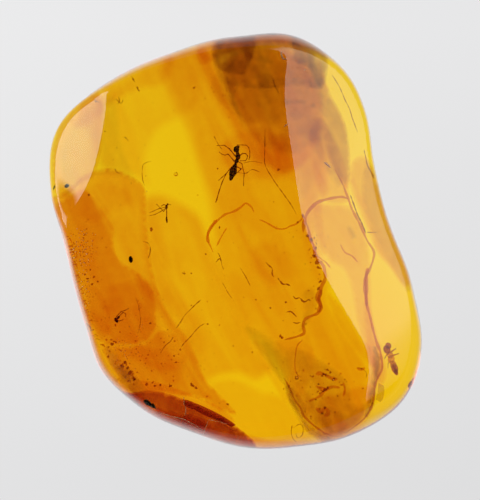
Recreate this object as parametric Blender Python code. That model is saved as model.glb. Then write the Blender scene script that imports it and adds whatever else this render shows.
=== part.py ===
"""Insects in amber: a polished nugget of clear amber with four small insects and a pellet sealed in it.

The amber is one stone. It is parted here at the level of the insects, so that each
insect lies in a pocket of its own shape that is open at the parting. The same level
opens the room of two darker runs of resin, a smoky one and a red one.
Metres, +Z up. The stone lies on its flat ground face at z = 0, and X and Y are at the
middle of its outline. Sizes below are in millimetres, and MM turns them to metres.
"""

import math

import bmesh
import bpy
from mathutils import Matrix, Vector

MM = 0.001

# The stone's outline: its reach from the middle every 15 degrees, from +X towards +Y.
RIM_REACH = (
    17.8, 16.95, 17.75, 20.35, 22.65, 23.43, 22.53, 21.85, 21.95, 22.7, 22.95, 20.78,
    18.72, 18.2, 18.9, 20.35, 21.05, 21.5, 22.45, 23.6, 24.8, 25.55, 23.82, 20.37,
)  # fmt: skip
# How square the sides are every 45 degrees, from +X towards +Y: 1 is round, less is squarer.
PLAN_FULLNESS = (0.45, 0.50, 0.48, 0.42, 0.42, 0.36, 0.30, 0.32)

# The rounded pebble before its faces are ground.
RIM_HEIGHT = 8.0  # of the widest level above the resting face
CROWN = 13.0  # from the widest level up to the unground top
KEEL = 14.0  # from the widest level down to the unground underside
SIDE_FULLNESS = 0.80
RIPPLE = 0.10  # height of the long waves that hand polishing leaves

# Faces ground on the pebble: the way each one looks (azimuth from +X, tilt from +Z), how
# far it is from the middle of the widest level, how softly its edges are rounded, and how
# hollow it is across, with the place of the hollow's middle.
GROUND_FACES = (
    # azimuth, tilt, distance, softness, hollow, middle
    (163, 6, 8.0, 0.40, 0.0, 0),  # the table, the broad top face
    (20, 27, 11.3, 0.40, 0.006, 2.0),  # the slope to the right of the ridge
    (158, 38, 15.4, 0.30, 0.014, -0.5),  # left shoulder
    (195, 30, 15.8, 0.50, 0.0, 0),  # lower left shoulder
    (-5, 37, 17.3, 0.40, 0.0, 0),  # near right shoulder
    (105, 42, 19.6, 0.50, 0.0, 0),  # far edge
)

STONE_CUTS = 15  # cuts across each side of the cube that the stone is blown up from
PARTING = 0.2  # between the two halves
CLEARANCE = 0.3  # between an insect or a run of dark resin and its pocket
BALL_SIDES = 10
BALL_RINGS = 7
RUN_SIDES = 24
RUN_RINGS = 8

# Runs of darker resin that the clear resin flowed over, each a flat lens: its middle's
# place from the middle of the parting level, its half length, half width and half height,
# and its heading in degrees.
SMOKY_RUN = (3.6, 16.5, 0.2, 6.2, 4.2, 1.3, -8)
RED_RUN = (-5.4, -17.8, 0.0, 6.6, 1.4, 1.6, -21)

# Insects: where each one's middle is and, in millimetres from there, its body's balls as
# (x, y, z, half length, half width, half height, heading in degrees) and its limbs as
# joints (x, y, z, radius). The parting level is z = 0.
ANT_AT = (0.35, 8.2)
ANT_BODY = (
    (0.12, 1.66, 0.05, 0.36, 0.30, 0.27, 80),  # head
    (0.30, 1.92, 0.02, 0.16, 0.12, 0.12, 60),  # jaws
    (0.22, 1.22, 0.02, 0.26, 0.15, 0.16, 95),  # neck
    (0.28, 0.84, 0.05, 0.38, 0.25, 0.25, 95),  # fore trunk
    (0.14, 0.34, 0.03, 0.32, 0.19, 0.20, 70),  # hind trunk
    (0.01, -0.02, 0.04, 0.17, 0.11, 0.15, 75),  # waist
    (-0.14, -0.42, 0.02, 0.42, 0.24, 0.26, 75),  # first ring of the abdomen
    (-0.32, -0.86, 0.02, 0.62, 0.40, 0.38, 75),  # abdomen
    (-0.46, -1.36, 0.00, 0.46, 0.21, 0.22, 75),  # its pointed end
)
ANT_LIMBS = (
    # right feeler
    ((0.10, 1.90, 0.1, 0.05), (0.16, 2.15, 0.15, 0.05), (0.87, 2.14, 0.2, 0.05),
     (1.20, 2.12, 0.2, 0.05), (1.50, 1.85, 0.2, 0.05), (1.64, 1.36, 0.15, 0.05),
     (1.62, 0.80, 0.1, 0.055), (1.54, 0.46, 0.1, 0.05)),
    # fore left leg
    ((0.20, 0.80, 0.0, 0.07), (-0.03, 0.91, 0.05, 0.08), (-0.68, 1.70, 0.1, 0.07),
     (-1.27, 2.12, 0.1, 0.05), (-2.11, 2.09, 0.0, 0.04)),
    # middle left leg
    ((0.15, 0.30, 0.0, 0.07), (-0.14, 0.35, -0.05, 0.08), (-0.85, 1.15, -0.1, 0.06),
     (-1.16, 1.02, -0.1, 0.05), (-1.50, 1.13, -0.1, 0.045), (-1.83, 1.40, -0.05, 0.04)),
    # fore right leg, folded round on itself
    ((0.30, 0.90, 0.0, 0.07), (0.53, 0.97, 0.05, 0.08), (0.81, 1.17, 0.1, 0.075),
     (1.14, 1.17, 0.1, 0.065), (1.38, 0.91, 0.1, 0.06), (1.31, 0.57, 0.1, 0.055),
     (1.14, 0.35, 0.05, 0.05), (0.52, 0.35, 0.0, 0.05)),
    # hind right leg
    ((0.12, 0.18, 0.0, 0.07), (0.16, -0.30, 0.05, 0.08), (0.69, -0.55, 0.15, 0.075),
     (0.35, -0.86, 0.1, 0.055), (0.06, -1.15, 0.05, 0.05)),
    # hind left leg and its long shin
    ((0.06, 0.18, 0.0, 0.07), (-0.55, -0.50, 0.1, 0.07), (-0.95, -1.00, 0.1, 0.06),
     (-1.44, -1.44, 0.05, 0.05), (-1.77, -1.73, 0.0, 0.04)),
    ((-0.95, -1.00, 0.1, 0.06), (-1.38, -2.00, 0.05, 0.06), (-1.66, -2.90, 0.0, 0.065),
     (-1.95, -3.85, -0.05, 0.075), (-2.06, -4.14, -0.1, 0.06)),
    # middle right leg, hanging behind
    ((0.20, 0.30, -0.05, 0.06), (0.75, 0.05, -0.15, 0.055), (0.90, -0.60, -0.2, 0.05),
     (1.02, -1.00, -0.2, 0.055), (0.98, -2.40, -0.2, 0.04)),
)  # fmt: skip

MIDGE_AT = (-7.22, 3.55)
MIDGE_BODY = (
    (0.12, 0.32, 0.02, 0.12, 0.11, 0.11, 90),  # head
    (0.00, 0.04, 0.05, 0.24, 0.14, 0.16, 95),  # trunk
    (0.06, -1.38, 0.00, 0.36, 0.10, 0.10, 98),  # end of the abdomen
)
MIDGE_LIMBS = (
    # abdomen
    ((0.01, -0.08, 0.03, 0.08), (0.04, -0.60, 0.0, 0.06), (0.05, -1.20, 0.0, 0.08)),
    # fore leg
    ((0.02, 0.18, 0.0, 0.05), (-0.30, 0.30, 0.1, 0.06), (-0.57, 0.12, 0.1, 0.05)),
    # middle leg
    ((0.00, -0.05, 0.0, 0.045), (-0.29, -0.45, 0.1, 0.045), (-0.64, -0.10, 0.1, 0.04),
     (-1.08, 0.35, 0.05, 0.035)),
    # two hind legs
    ((0.00, 0.05, 0.0, 0.045), (-0.83, -0.15, -0.05, 0.04), (-1.46, -0.42, -0.1, 0.035),
     (-1.80, -0.54, -0.1, 0.03)),
    ((0.00, -0.05, 0.0, 0.045), (-0.64, -0.46, -0.1, 0.04), (-1.27, -0.78, -0.1, 0.035),
     (-1.77, -0.86, -0.1, 0.03)),
    # feeler
    ((0.14, 0.36, 0.02, 0.035), (0.50, 0.27, 0.05, 0.03)),
)  # fmt: skip

BARKLOUSE_AT = (15.15, -12.8)
BARKLOUSE_BODY = (
    (-0.41, 0.75, 0.00, 0.32, 0.33, 0.30, 112),  # head
    (-0.21, 1.10, -0.05, 0.22, 0.27, 0.20, 112),  # face
    (-0.05, 0.26, 0.05, 0.28, 0.31, 0.28, 106),  # fore trunk
    (0.05, -0.13, 0.05, 0.37, 0.37, 0.32, 106),  # hind trunk
    (0.31, -0.70, 0.02, 0.40, 0.31, 0.30, 114),  # abdomen
    (0.48, -1.07, 0.00, 0.49, 0.33, 0.30, 114),
    (0.63, -1.42, 0.00, 0.33, 0.17, 0.16, 114),  # its pointed end
)
BARKLOUSE_LIMBS = (
    ((-0.05, 0.53, 0.0, 0.09), (0.19, 0.68, 0.1, 0.09), (0.67, 0.93, 0.1, 0.06)),
    ((0.10, 0.18, 0.0, 0.09), (0.42, 0.28, 0.1, 0.09), (1.00, 0.44, 0.1, 0.06)),
    ((-0.21, 0.44, 0.0, 0.07), (-0.48, 0.29, 0.1, 0.07), (-0.72, -0.06, 0.1, 0.05)),
    ((0.00, -0.26, 0.0, 0.07), (-0.31, -0.55, 0.1, 0.05), (-0.32, -1.02, 0.05, 0.04)),
)

GNAT_AT = (-12.5, -8.8)
GNAT_BODY = (
    (0.00, 0.00, 0.00, 0.30, 0.17, 0.16, 125),  # trunk, bent over
    (0.22, 0.30, 0.00, 0.20, 0.12, 0.12, 45),  # abdomen
)
GNAT_LIMBS = (
    ((-0.10, 0.15, 0.0, 0.05), (0.05, 0.45, 0.05, 0.05), (0.50, 0.93, 0.1, 0.05),
     (0.95, 1.05, 0.1, 0.045), (1.30, 1.25, 0.05, 0.035)),
    ((0.20, 0.35, 0.0, 0.055), (0.72, 0.84, -0.05, 0.05), (1.02, 0.66, -0.1, 0.045),
     (1.02, 0.34, -0.1, 0.045)),
    ((0.10, -0.10, 0.0, 0.055), (0.42, -0.06, -0.05, 0.05), (0.78, 0.06, -0.1, 0.04)),
)  # fmt: skip

PELLET_AT = (-11.12, -2.13)
PELLET_BODY = ((0.0, 0.0, 0.0, 0.38, 0.22, 0.24, 96),)


def new_collection(name):
    collection = bpy.data.collections.new(name)
    bpy.context.scene.collection.children.link(collection)
    return collection


def clear_scene():
    for leftover in list(bpy.data.objects):
        bpy.data.objects.remove(leftover)


clear_scene()
PARTS = new_collection("insect_in_amber")
CUTTERS = new_collection("cutters")
POCKETS = new_collection("pockets")


def material(name, colour, roughness, transmission=0.0, ior=1.5):
    """A Principled BSDF with the colour of one kind of piece."""
    made = bpy.data.materials.new(name)
    made.use_nodes = True
    shader = made.node_tree.nodes["Principled BSDF"]
    shader.inputs["Base Color"].default_value = (*colour, 1.0)
    shader.inputs["Roughness"].default_value = roughness
    shader.inputs["Metallic"].default_value = 0.0
    shader.inputs["Transmission Weight"].default_value = transmission
    shader.inputs["IOR"].default_value = ior
    return made


def object_of(bm, name, collection, finish=None):
    """A new object in a collection, with the bmesh as its mesh."""
    mesh = bpy.data.meshes.new(name)
    bm.to_mesh(mesh)
    bm.free()
    made = bpy.data.objects.new(name, mesh)
    collection.objects.link(made)
    if finish:
        mesh.materials.append(finish)
    return made


def as_cutter(obj):
    obj.hide_render = True
    obj.display_type = "WIRE"


def apply_modifiers(obj):
    """Replaces the object's mesh with the mesh that its modifiers make."""
    bpy.context.view_layer.update()
    graph = bpy.context.evaluated_depsgraph_get()
    made = bpy.data.meshes.new_from_object(obj.evaluated_get(graph))
    obj.modifiers.clear()
    obj.data = made


def boolean(obj, operation, other):
    """Adds an exact Boolean with an object or with all of a collection."""
    modifier = obj.modifiers.new(operation.lower(), "BOOLEAN")
    modifier.operation = operation
    modifier.solver = "EXACT"
    if isinstance(other, bpy.types.Collection):
        modifier.operand_type = "COLLECTION"
        modifier.collection = other
    else:
        modifier.object = other


# ---- the stone ----


def around(values, azimuth):
    """A value at an azimuth in radians, smooth between values evenly spaced from +X to +Y."""
    count = len(values)
    turn = azimuth / math.tau % 1.0 * count
    first = int(turn)
    t = turn - first
    p0, p1, p2, p3 = (values[(first + k) % count] for k in (-1, 0, 1, 2))
    slope_in = (p2 - p0) / 2
    slope_out = (p3 - p1) / 2
    bend = 2 * (p1 - p2) + slope_in + slope_out
    lean = 3 * (p2 - p1) - 2 * slope_in - slope_out
    return p1 + t * (slope_in + t * (lean + t * bend))


def facing(azimuth_deg, tilt_deg):
    """The unit vector that looks that way."""
    azimuth, tilt = math.radians(azimuth_deg), math.radians(tilt_deg)
    return Vector(
        (
            math.sin(tilt) * math.cos(azimuth),
            math.sin(tilt) * math.sin(azimuth),
            math.cos(tilt),
        )
    )


def over(height, softness):
    """How far a point that stands over a plane by height is ground down, eased at the edge."""
    ratio = height / softness
    return height if ratio > 30 else softness * math.log1p(math.exp(ratio))


def nugget_point(direction):
    """Where the polished stone's surface is in a direction from its middle, in millimetres."""
    azimuth = math.atan2(direction.y, direction.x)
    level = math.hypot(direction.x, direction.y)
    reach = around(RIM_REACH, azimuth) * level ** around(PLAN_FULLNESS, azimuth)
    rise = CROWN if direction.z > 0 else KEEL
    height = math.copysign(rise * abs(direction.z) ** SIDE_FULLNESS, direction.z)
    point = Vector((reach * math.cos(azimuth), reach * math.sin(azimuth), height))
    for azimuth_deg, tilt_deg, distance, softness, hollow, middle in GROUND_FACES:
        normal = facing(azimuth_deg, tilt_deg)
        side = facing(azimuth_deg + 90, 90)
        distance += hollow * (point.dot(side) - middle) ** 2
        point -= normal * over(point.dot(normal) - distance, softness)
    wave = math.sin(0.55 * point.x + 0.7) * math.sin(0.48 * point.y - 0.3)
    point += direction * (RIPPLE * wave)
    return point + Vector((0.0, 0.0, RIM_HEIGHT))


def nugget():
    """The whole stone: a cube cut into small squares, blown up to the nugget's surface."""
    bm = bmesh.new()
    bmesh.ops.create_cube(bm, size=2.0)
    bmesh.ops.subdivide_edges(bm, edges=bm.edges[:], cuts=STONE_CUTS, use_grid_fill=True)
    for vertex in bm.verts:
        vertex.co = nugget_point(vertex.co.normalized()) * MM
    stone = object_of(bm, "whole_stone", CUTTERS)
    as_cutter(stone)
    return stone


def slab(name, low, high):
    """A wide flat box between two heights, to keep one layer of the stone."""
    width = 80.0
    bm = bmesh.new()
    bmesh.ops.create_cube(bm, size=1.0)
    box = object_of(bm, name, CUTTERS)
    box.data.transform(Matrix.Diagonal((width * MM, width * MM, (high - low) * MM, 1.0)))
    box.location = (0.0, 0.0, (low + high) / 2 * MM)
    as_cutter(box)
    return box


def amber_half(name, stone, low, high, finish):
    """One half of the stone, with the insects' pockets in its parting face."""
    half = bpy.data.objects.new(name, stone.data.copy())
    PARTS.objects.link(half)
    half.data.materials.append(finish)
    boolean(half, "INTERSECT", slab(name + "_layer", low, high))
    boolean(half, "DIFFERENCE", POCKETS)
    apply_modifiers(half)


# ---- the insects ----


def ball(name, collection, place, halves, heading_deg, sides=BALL_SIDES, rings=BALL_RINGS):
    """A rounded body section, longest along its heading."""
    bm = bmesh.new()
    bmesh.ops.create_uvsphere(bm, u_segments=sides, v_segments=rings, radius=1.0)
    made = object_of(bm, name, collection)
    # The sphere's poles are turned to the heading before it is stretched.
    made.data.transform(Matrix.Rotation(math.radians(90), 4, "Y"))
    made.data.transform(Matrix.Diagonal((*(half * MM for half in halves), 1.0)))
    made.rotation_euler = (0.0, 0.0, math.radians(heading_deg))
    made.location = Vector(place) * MM
    return made


def limb(name, collection, origin, joints):
    """A leg or feeler: a closed six-sided tube through its joints, as thick as each says."""
    path = bpy.data.curves.new(name, "CURVE")
    path.dimensions = "3D"
    path.bevel_depth = MM
    path.bevel_resolution = 1
    path.use_fill_caps = True
    line = path.splines.new("POLY")
    line.points.add(len(joints) - 1)
    for point, (x, y, z, radius) in zip(line.points, joints):
        point.co = (*((origin + Vector((x, y, z))) * MM), 1.0)
        point.radius = radius
    tube = bpy.data.objects.new(name + "_path", path)
    collection.objects.link(tube)
    bpy.context.view_layer.update()
    graph = bpy.context.evaluated_depsgraph_get()
    mesh = bpy.data.meshes.new_from_object(tube.evaluated_get(graph))
    bpy.data.objects.remove(tube)
    bm = bmesh.new()
    bm.from_mesh(mesh)
    bmesh.ops.remove_doubles(bm, verts=bm.verts[:], dist=0.000002)
    bmesh.ops.recalc_face_normals(bm, faces=bm.faces[:])
    bpy.data.meshes.remove(mesh)
    return object_of(bm, name, collection)


def insect(name, at, balls, limbs, finish):
    """An insect as one closed solid."""
    pieces = new_collection(name + "_pieces")
    origin = Vector((at[0], at[1], RIM_HEIGHT))
    for number, (x, y, z, length, width, height, heading) in enumerate(balls):
        place = origin + Vector((x, y, z))
        ball(f"{name}_ball_{number}", pieces, place, (length, width, height), heading)
    for number, joints in enumerate(limbs):
        limb(f"{name}_limb_{number}", pieces, origin, joints)
    body = pieces.objects[0]
    pieces.objects.unlink(body)
    PARTS.objects.link(body)
    body.name = name
    if len(pieces.objects):
        boolean(body, "UNION", pieces)
        apply_modifiers(body)
    for spent in list(pieces.objects):
        bpy.data.objects.remove(spent)
    bpy.data.collections.remove(pieces)
    body.data.materials.clear()
    body.data.materials.append(finish)
    body.data.shade_smooth()


# ---- the pockets ----


def corners(place, halves, turn):
    """The corners of a box with those half sizes, turned about its upright axis."""
    return [
        place + turn @ Vector((x * halves[0], y * halves[1], z * halves[2]))
        for x in (-1, 1)
        for y in (-1, 1)
        for z in (-1, 1)
    ]


def hull(name, points):
    """The smallest solid without hollows around some points, as a cutter."""
    bm = bmesh.new()
    for point in points:
        bm.verts.new(point * MM)
    bmesh.ops.convex_hull(bm, input=bm.verts[:])
    unused = [vertex for vertex in bm.verts if not vertex.link_faces]
    bmesh.ops.delete(bm, geom=unused, context="VERTS")
    as_cutter(object_of(bm, name, POCKETS))


def pocket(name, at, balls, limbs):
    """The room that the amber leaves for an insect: around its body, and around each limb."""
    origin = Vector((at[0], at[1], RIM_HEIGHT))
    around_body = []
    for x, y, z, length, width, height, heading in balls:
        turn = Matrix.Rotation(math.radians(heading), 3, "Z")
        halves = [half + CLEARANCE for half in (length, width, height)]
        around_body += corners(origin + Vector((x, y, z)), halves, turn)
    hull(name + "_body_pocket", around_body)
    for number, joints in enumerate(limbs):
        around_limb = []
        for x, y, z, radius in joints:
            halves = [radius + CLEARANCE] * 3
            around_limb += corners(origin + Vector((x, y, z)), halves, Matrix.Identity(3))
        hull(f"{name}_limb_pocket_{number}", around_limb)


# ---- the dark runs ----


def dark_run(name, run, finish):
    """A lens of darker resin, and the room that the clear amber leaves for it."""
    x, y, z, length, width, height, heading = run
    place = Vector((x, y, z + RIM_HEIGHT))
    lens = ball(name, PARTS, place, (length, width, height), heading, RUN_SIDES, RUN_RINGS)
    lens.data.materials.append(finish)
    lens.data.shade_smooth()
    halves = [half + CLEARANCE for half in (length, width, height)]
    as_cutter(ball(name + "_pocket", POCKETS, place, halves, heading, RUN_SIDES, RUN_RINGS))


def build():
    amber = material("amber", (0.85, 0.42, 0.02), 0.03, transmission=1.0, ior=1.54)
    smoky = material("smoky_resin", (0.42, 0.16, 0.04), 0.03, transmission=1.0, ior=1.54)
    red = material("red_resin", (0.45, 0.05, 0.01), 0.03, transmission=1.0, ior=1.54)
    dark_shell = material("dark_shell", (0.020, 0.012, 0.006), 0.35)
    brown_shell = material("brown_shell", (0.30, 0.08, 0.015), 0.40)
    grit = material("pellet_grit", (0.012, 0.006, 0.004), 0.60)

    sealed = (
        ("ant", ANT_AT, ANT_BODY, ANT_LIMBS, dark_shell),
        ("midge", MIDGE_AT, MIDGE_BODY, MIDGE_LIMBS, brown_shell),
        ("barklouse", BARKLOUSE_AT, BARKLOUSE_BODY, BARKLOUSE_LIMBS, brown_shell),
        ("gnat", GNAT_AT, GNAT_BODY, GNAT_LIMBS, brown_shell),
        ("pellet", PELLET_AT, PELLET_BODY, (), grit),
    )
    for name, at, balls, limbs, finish in sealed:
        insect(name, at, balls, limbs, finish)
        pocket(name, at, balls, limbs)
    dark_run("smoky_run", SMOKY_RUN, smoky)
    dark_run("red_run", RED_RUN, red)

    stone = nugget()
    top = RIM_HEIGHT + CROWN + 5.0
    below, above = RIM_HEIGHT - PARTING / 2, RIM_HEIGHT + PARTING / 2
    amber_half("amber_lower_half", stone, 0.0, below, amber)
    amber_half("amber_upper_half", stone, above, top, amber)


build()
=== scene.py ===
"""Insects in amber: a polished nugget of clear fossil resin, with an ant, a midge, a barklouse,
a gnat and a pellet sealed in it, lying on its ground face on a pale glowing table.

Sizes are in millimetres, and MM turns them to Blender's metres.
"""

import math
import random

import bmesh
import bpy
import numpy as np
from mathutils import Matrix, Vector, noise
from mathutils.bvhtree import BVHTree
from mathutils.geometry import delaunay_2d_cdt
from mathutils.interpolate import poly_3d_calc


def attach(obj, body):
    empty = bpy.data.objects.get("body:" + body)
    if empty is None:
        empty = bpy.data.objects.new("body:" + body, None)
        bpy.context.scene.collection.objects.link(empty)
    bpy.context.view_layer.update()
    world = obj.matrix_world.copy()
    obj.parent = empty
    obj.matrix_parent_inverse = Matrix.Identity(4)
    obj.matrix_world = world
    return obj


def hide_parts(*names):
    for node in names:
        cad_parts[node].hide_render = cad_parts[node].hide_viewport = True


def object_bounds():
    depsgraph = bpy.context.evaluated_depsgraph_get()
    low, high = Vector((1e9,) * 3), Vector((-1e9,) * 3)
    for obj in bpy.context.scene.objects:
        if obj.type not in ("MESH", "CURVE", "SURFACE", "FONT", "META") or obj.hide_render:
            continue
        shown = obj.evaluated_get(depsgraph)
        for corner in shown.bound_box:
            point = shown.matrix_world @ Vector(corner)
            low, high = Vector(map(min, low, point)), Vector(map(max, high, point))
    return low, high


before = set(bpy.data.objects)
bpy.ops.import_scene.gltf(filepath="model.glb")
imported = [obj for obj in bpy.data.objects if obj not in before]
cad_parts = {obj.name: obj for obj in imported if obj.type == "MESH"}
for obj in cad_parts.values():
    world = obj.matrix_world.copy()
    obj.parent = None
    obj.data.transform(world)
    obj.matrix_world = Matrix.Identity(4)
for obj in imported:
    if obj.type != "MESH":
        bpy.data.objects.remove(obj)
cad_low, cad_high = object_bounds()

# ---- the amber nugget ----
# One piece of fossil tree resin. Its faces were ground flat and its edges rounded over by
# hand polishing, and it lies on the largest of them.

MM = 0.001
RIM_REACH = (
    17.8, 16.95, 17.75, 20.35, 22.65, 23.43, 22.53, 21.85, 21.95, 22.7, 22.95, 20.78,
    18.72, 18.2, 18.9, 20.35, 21.05, 21.5, 22.45, 23.6, 24.8, 25.55, 23.82, 20.37,
)  # fmt: skip
PLAN_FULLNESS = (0.45, 0.50, 0.48, 0.42, 0.42, 0.36, 0.30, 0.32)
RIM_HEIGHT = 8.0
CROWN = 13.0
KEEL = 14.0
SIDE_FULLNESS = 0.80
RIPPLE = 0.10
GROUND_FACES = (
    # azimuth, tilt, distance, softness, hollow, middle
    (163, 6, 8.0, 0.40, 0.0, 0),  # the table, the broad top face
    (20, 27, 11.3, 0.40, 0.006, 2.0),  # the slope to the right of the ridge
    (158, 38, 15.4, 0.30, 0.014, -0.5),  # left shoulder
    (195, 30, 15.8, 0.50, 0.0, 0),  # lower left shoulder
    (-5, 37, 17.3, 0.40, 0.0, 0),  # near right shoulder
    (105, 42, 19.6, 0.50, 0.0, 0),  # far edge
)
STONE_CUTS = 79
AMBER_INDEX = 1.54


def around(values, azimuth):
    """A value at an azimuth in radians, smooth between values evenly spaced from +X to +Y."""
    count = len(values)
    turn = azimuth / math.tau % 1.0 * count
    first = int(turn)
    t = turn - first
    p0, p1, p2, p3 = (values[(first + k) % count] for k in (-1, 0, 1, 2))
    slope_in = (p2 - p0) / 2
    slope_out = (p3 - p1) / 2
    bend = 2 * (p1 - p2) + slope_in + slope_out
    lean = 3 * (p2 - p1) - 2 * slope_in - slope_out
    return p1 + t * (slope_in + t * (lean + t * bend))


def facing(azimuth_deg, tilt_deg):
    """The unit vector that looks that way."""
    azimuth, tilt = math.radians(azimuth_deg), math.radians(tilt_deg)
    across = math.sin(tilt)
    return Vector((across * math.cos(azimuth), across * math.sin(azimuth), math.cos(tilt)))


def over(height, softness):
    """How far a point that stands over a plane is ground down, eased at the edge."""
    ratio = height / softness
    return height if ratio > 30 else softness * math.log1p(math.exp(ratio))


GROUND_NORMALS = [facing(azimuth, tilt) for azimuth, tilt, *_ in GROUND_FACES]
GROUND_SIDES = [facing(azimuth + 90, 90) for azimuth, *_ in GROUND_FACES]


def nugget_point(direction):
    """Where the polished surface is in a direction from the stone's middle, in millimetres."""
    azimuth = math.atan2(direction.y, direction.x)
    level = math.hypot(direction.x, direction.y)
    reach = around(RIM_REACH, azimuth) * level ** around(PLAN_FULLNESS, azimuth)
    rise = CROWN if direction.z > 0 else KEEL
    height = math.copysign(rise * abs(direction.z) ** SIDE_FULLNESS, direction.z)
    point = Vector((reach * math.cos(azimuth), reach * math.sin(azimuth), height))
    for normal, side, face in zip(GROUND_NORMALS, GROUND_SIDES, GROUND_FACES):
        _, _, distance, softness, hollow, middle = face
        distance += hollow * (point.dot(side) - middle) ** 2
        point -= normal * over(point.dot(normal) - distance, softness)
    wave = math.sin(0.55 * point.x + 0.7) * math.sin(0.48 * point.y - 0.3)
    point += direction * (RIPPLE * wave)
    return point + Vector((0.0, 0.0, RIM_HEIGHT))


def add_node(tree, kind, inputs=None, **settings):
    """Adds a node to a material, with its settings and with values or links for its inputs."""
    made = tree.nodes.new("ShaderNode" + kind)
    for name, value in settings.items():
        setattr(made, name, value)
    for socket, value in (inputs or {}).items():
        if isinstance(value, bpy.types.NodeSocket):
            tree.links.new(value, made.inputs[socket])
        else:
            made.inputs[socket].default_value = value
    return made


def linear(hex_colour):
    """An sRGB hex colour as linear red, green, blue and alpha."""
    shares = [int(hex_colour[i : i + 2], 16) / 255 for i in (1, 3, 5)]
    return (*(s / 12.92 if s <= 0.04045 else ((s + 0.055) / 1.055) ** 2.4 for s in shares), 1.0)


def new_material(name):
    """An empty material and its node tree."""
    made = bpy.data.materials.new(name)
    made.use_nodes = True
    made.node_tree.nodes.clear()
    return made, made.node_tree


def polished_amber():
    """Fossil resin, ground and polished: very smooth, and golden because it takes the blue
    out of the light and, over a long way, the green."""
    made, tree = new_material("polished_amber")
    skin = {"Base Color": linear("#FFFFFF"), "Roughness": 0.015, "IOR": AMBER_INDEX}
    gloss = add_node(tree, "BsdfPrincipled", {**skin, "Transmission Weight": 1.0})
    takes = add_node(tree, "VolumeAbsorption", {"Color": (0.987, 0.893, 0.0, 1.0), "Density": 343.0})
    add_node(tree, "OutputMaterial", {"Surface": gloss.outputs[0], "Volume": takes.outputs[0]})
    return made


def put(name, bm, finish):
    """A new piece from a mesh in metres, riding on the nugget."""
    mesh = bpy.data.meshes.new(name)
    bm.to_mesh(mesh)
    bm.free()
    mesh.shade_smooth()
    mesh.materials.append(finish)
    piece = bpy.data.objects.new(name, mesh)
    bpy.context.scene.collection.objects.link(piece)
    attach(piece, "root")
    return piece


def nugget():
    """The stone: a cube cut into small squares, blown up to the nugget's surface."""
    bm = bmesh.new()
    bmesh.ops.create_cube(bm, size=2.0)
    bmesh.ops.subdivide_edges(bm, edges=bm.edges[:], cuts=STONE_CUTS, use_grid_fill=True)
    for vertex in bm.verts:
        point = nugget_point(vertex.co.normalized()) * MM
        point.z = max(point.z, 0.0)
        vertex.co = point
    low = [min(vertex.co[axis] for vertex in bm.verts) for axis in range(3)]
    high = [max(vertex.co[axis] for vertex in bm.verts) for axis in range(3)]
    for vertex in bm.verts:
        for axis in range(3):
            share = (vertex.co[axis] - low[axis]) / (high[axis] - low[axis])
            vertex.co[axis] = cad_low[axis] + share * (cad_high[axis] - cad_low[axis])
    return bm


amber = put("amber", nugget(), polished_amber())
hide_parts("amber_lower_half", "amber_upper_half")

# ---- the smoky run ----
# The first run of resin at the far end came out smoky brown, and the clear resin closed over
# it. It is resin too, so its border bends nothing, and it shows by what it takes of the light.

SMOKY_RUN = (3.6, 16.5, 0.2, 6.2, 4.2, 1.3, -8)


def resin(name, red, green, blue):
    """Resin of another run, clear like the rest: it takes so many shares of each light over
    a millimetre."""
    made, tree = new_material(name)
    most = max(red, green, blue)
    left = (1 - red / most, 1 - green / most, 1 - blue / most, 1.0)
    clear = add_node(tree, "BsdfTransparent", {"Color": (1.0, 1.0, 1.0, 1.0)})
    takes = add_node(tree, "VolumeAbsorption", {"Color": left, "Density": most / MM})
    add_node(tree, "OutputMaterial", {"Surface": clear.outputs[0], "Volume": takes.outputs[0]})
    return made


def dark_run(run, wander, grain):
    """A flat lens of resin whose border wanders, over waves of 1 / grain millimetres."""
    x, y, z, length, width, height, heading = run
    bm = bmesh.new()
    bmesh.ops.create_uvsphere(bm, u_segments=72, v_segments=36, radius=1.0)
    turn = Matrix.Rotation(math.radians(heading), 3, "Z")
    middle = Vector((x, y, z + RIM_HEIGHT))
    for vertex in bm.verts:
        flat = turn @ Vector((vertex.co.x * length, vertex.co.y * width, 0.0))
        pull = 1 - wander * (0.5 + 0.5 * noise.noise(flat * grain + middle))
        flat.z = vertex.co.z * height
        vertex.co = (middle + flat * pull) * MM
    return bm


smoky_resin = resin("smoky_fossil_resin", 0.10, 0.16, 0.2)
smoky_run = put("smoky_run_resin", dark_run(SMOKY_RUN, 0.12, 0.5), smoky_resin)
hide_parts("smoky_run")

# ---- the films between the runs ----
# The stone grew in many runs of resin, each over the last. Bark dust, smoke and bubbles too
# small to see settled on each run before the next, and the next drew them out into streaks.
# A few films stand in for light instead: one smoky film is painted shade beside the plate's
# gold fold, and pale milky films are painted highlight along the right rim and at the chip.

CAMERA_HEIGHT = 400.0
FRAME_MIDDLE = (0.66, -1.045)
EYE = Vector((*FRAME_MIDDLE, RIM_HEIGHT + CAMERA_HEIGHT))
STONE = [vertex.co / MM for vertex in amber.data.vertices]
STONE_FACES = [face.vertices[:] for face in amber.data.polygons]
SURFACE = BVHTree.FromPolygons(STONE, STONE_FACES)
FILM_PITCH = 0.45
FLOOR_GAP = 0.3
PULLS = 30


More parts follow.
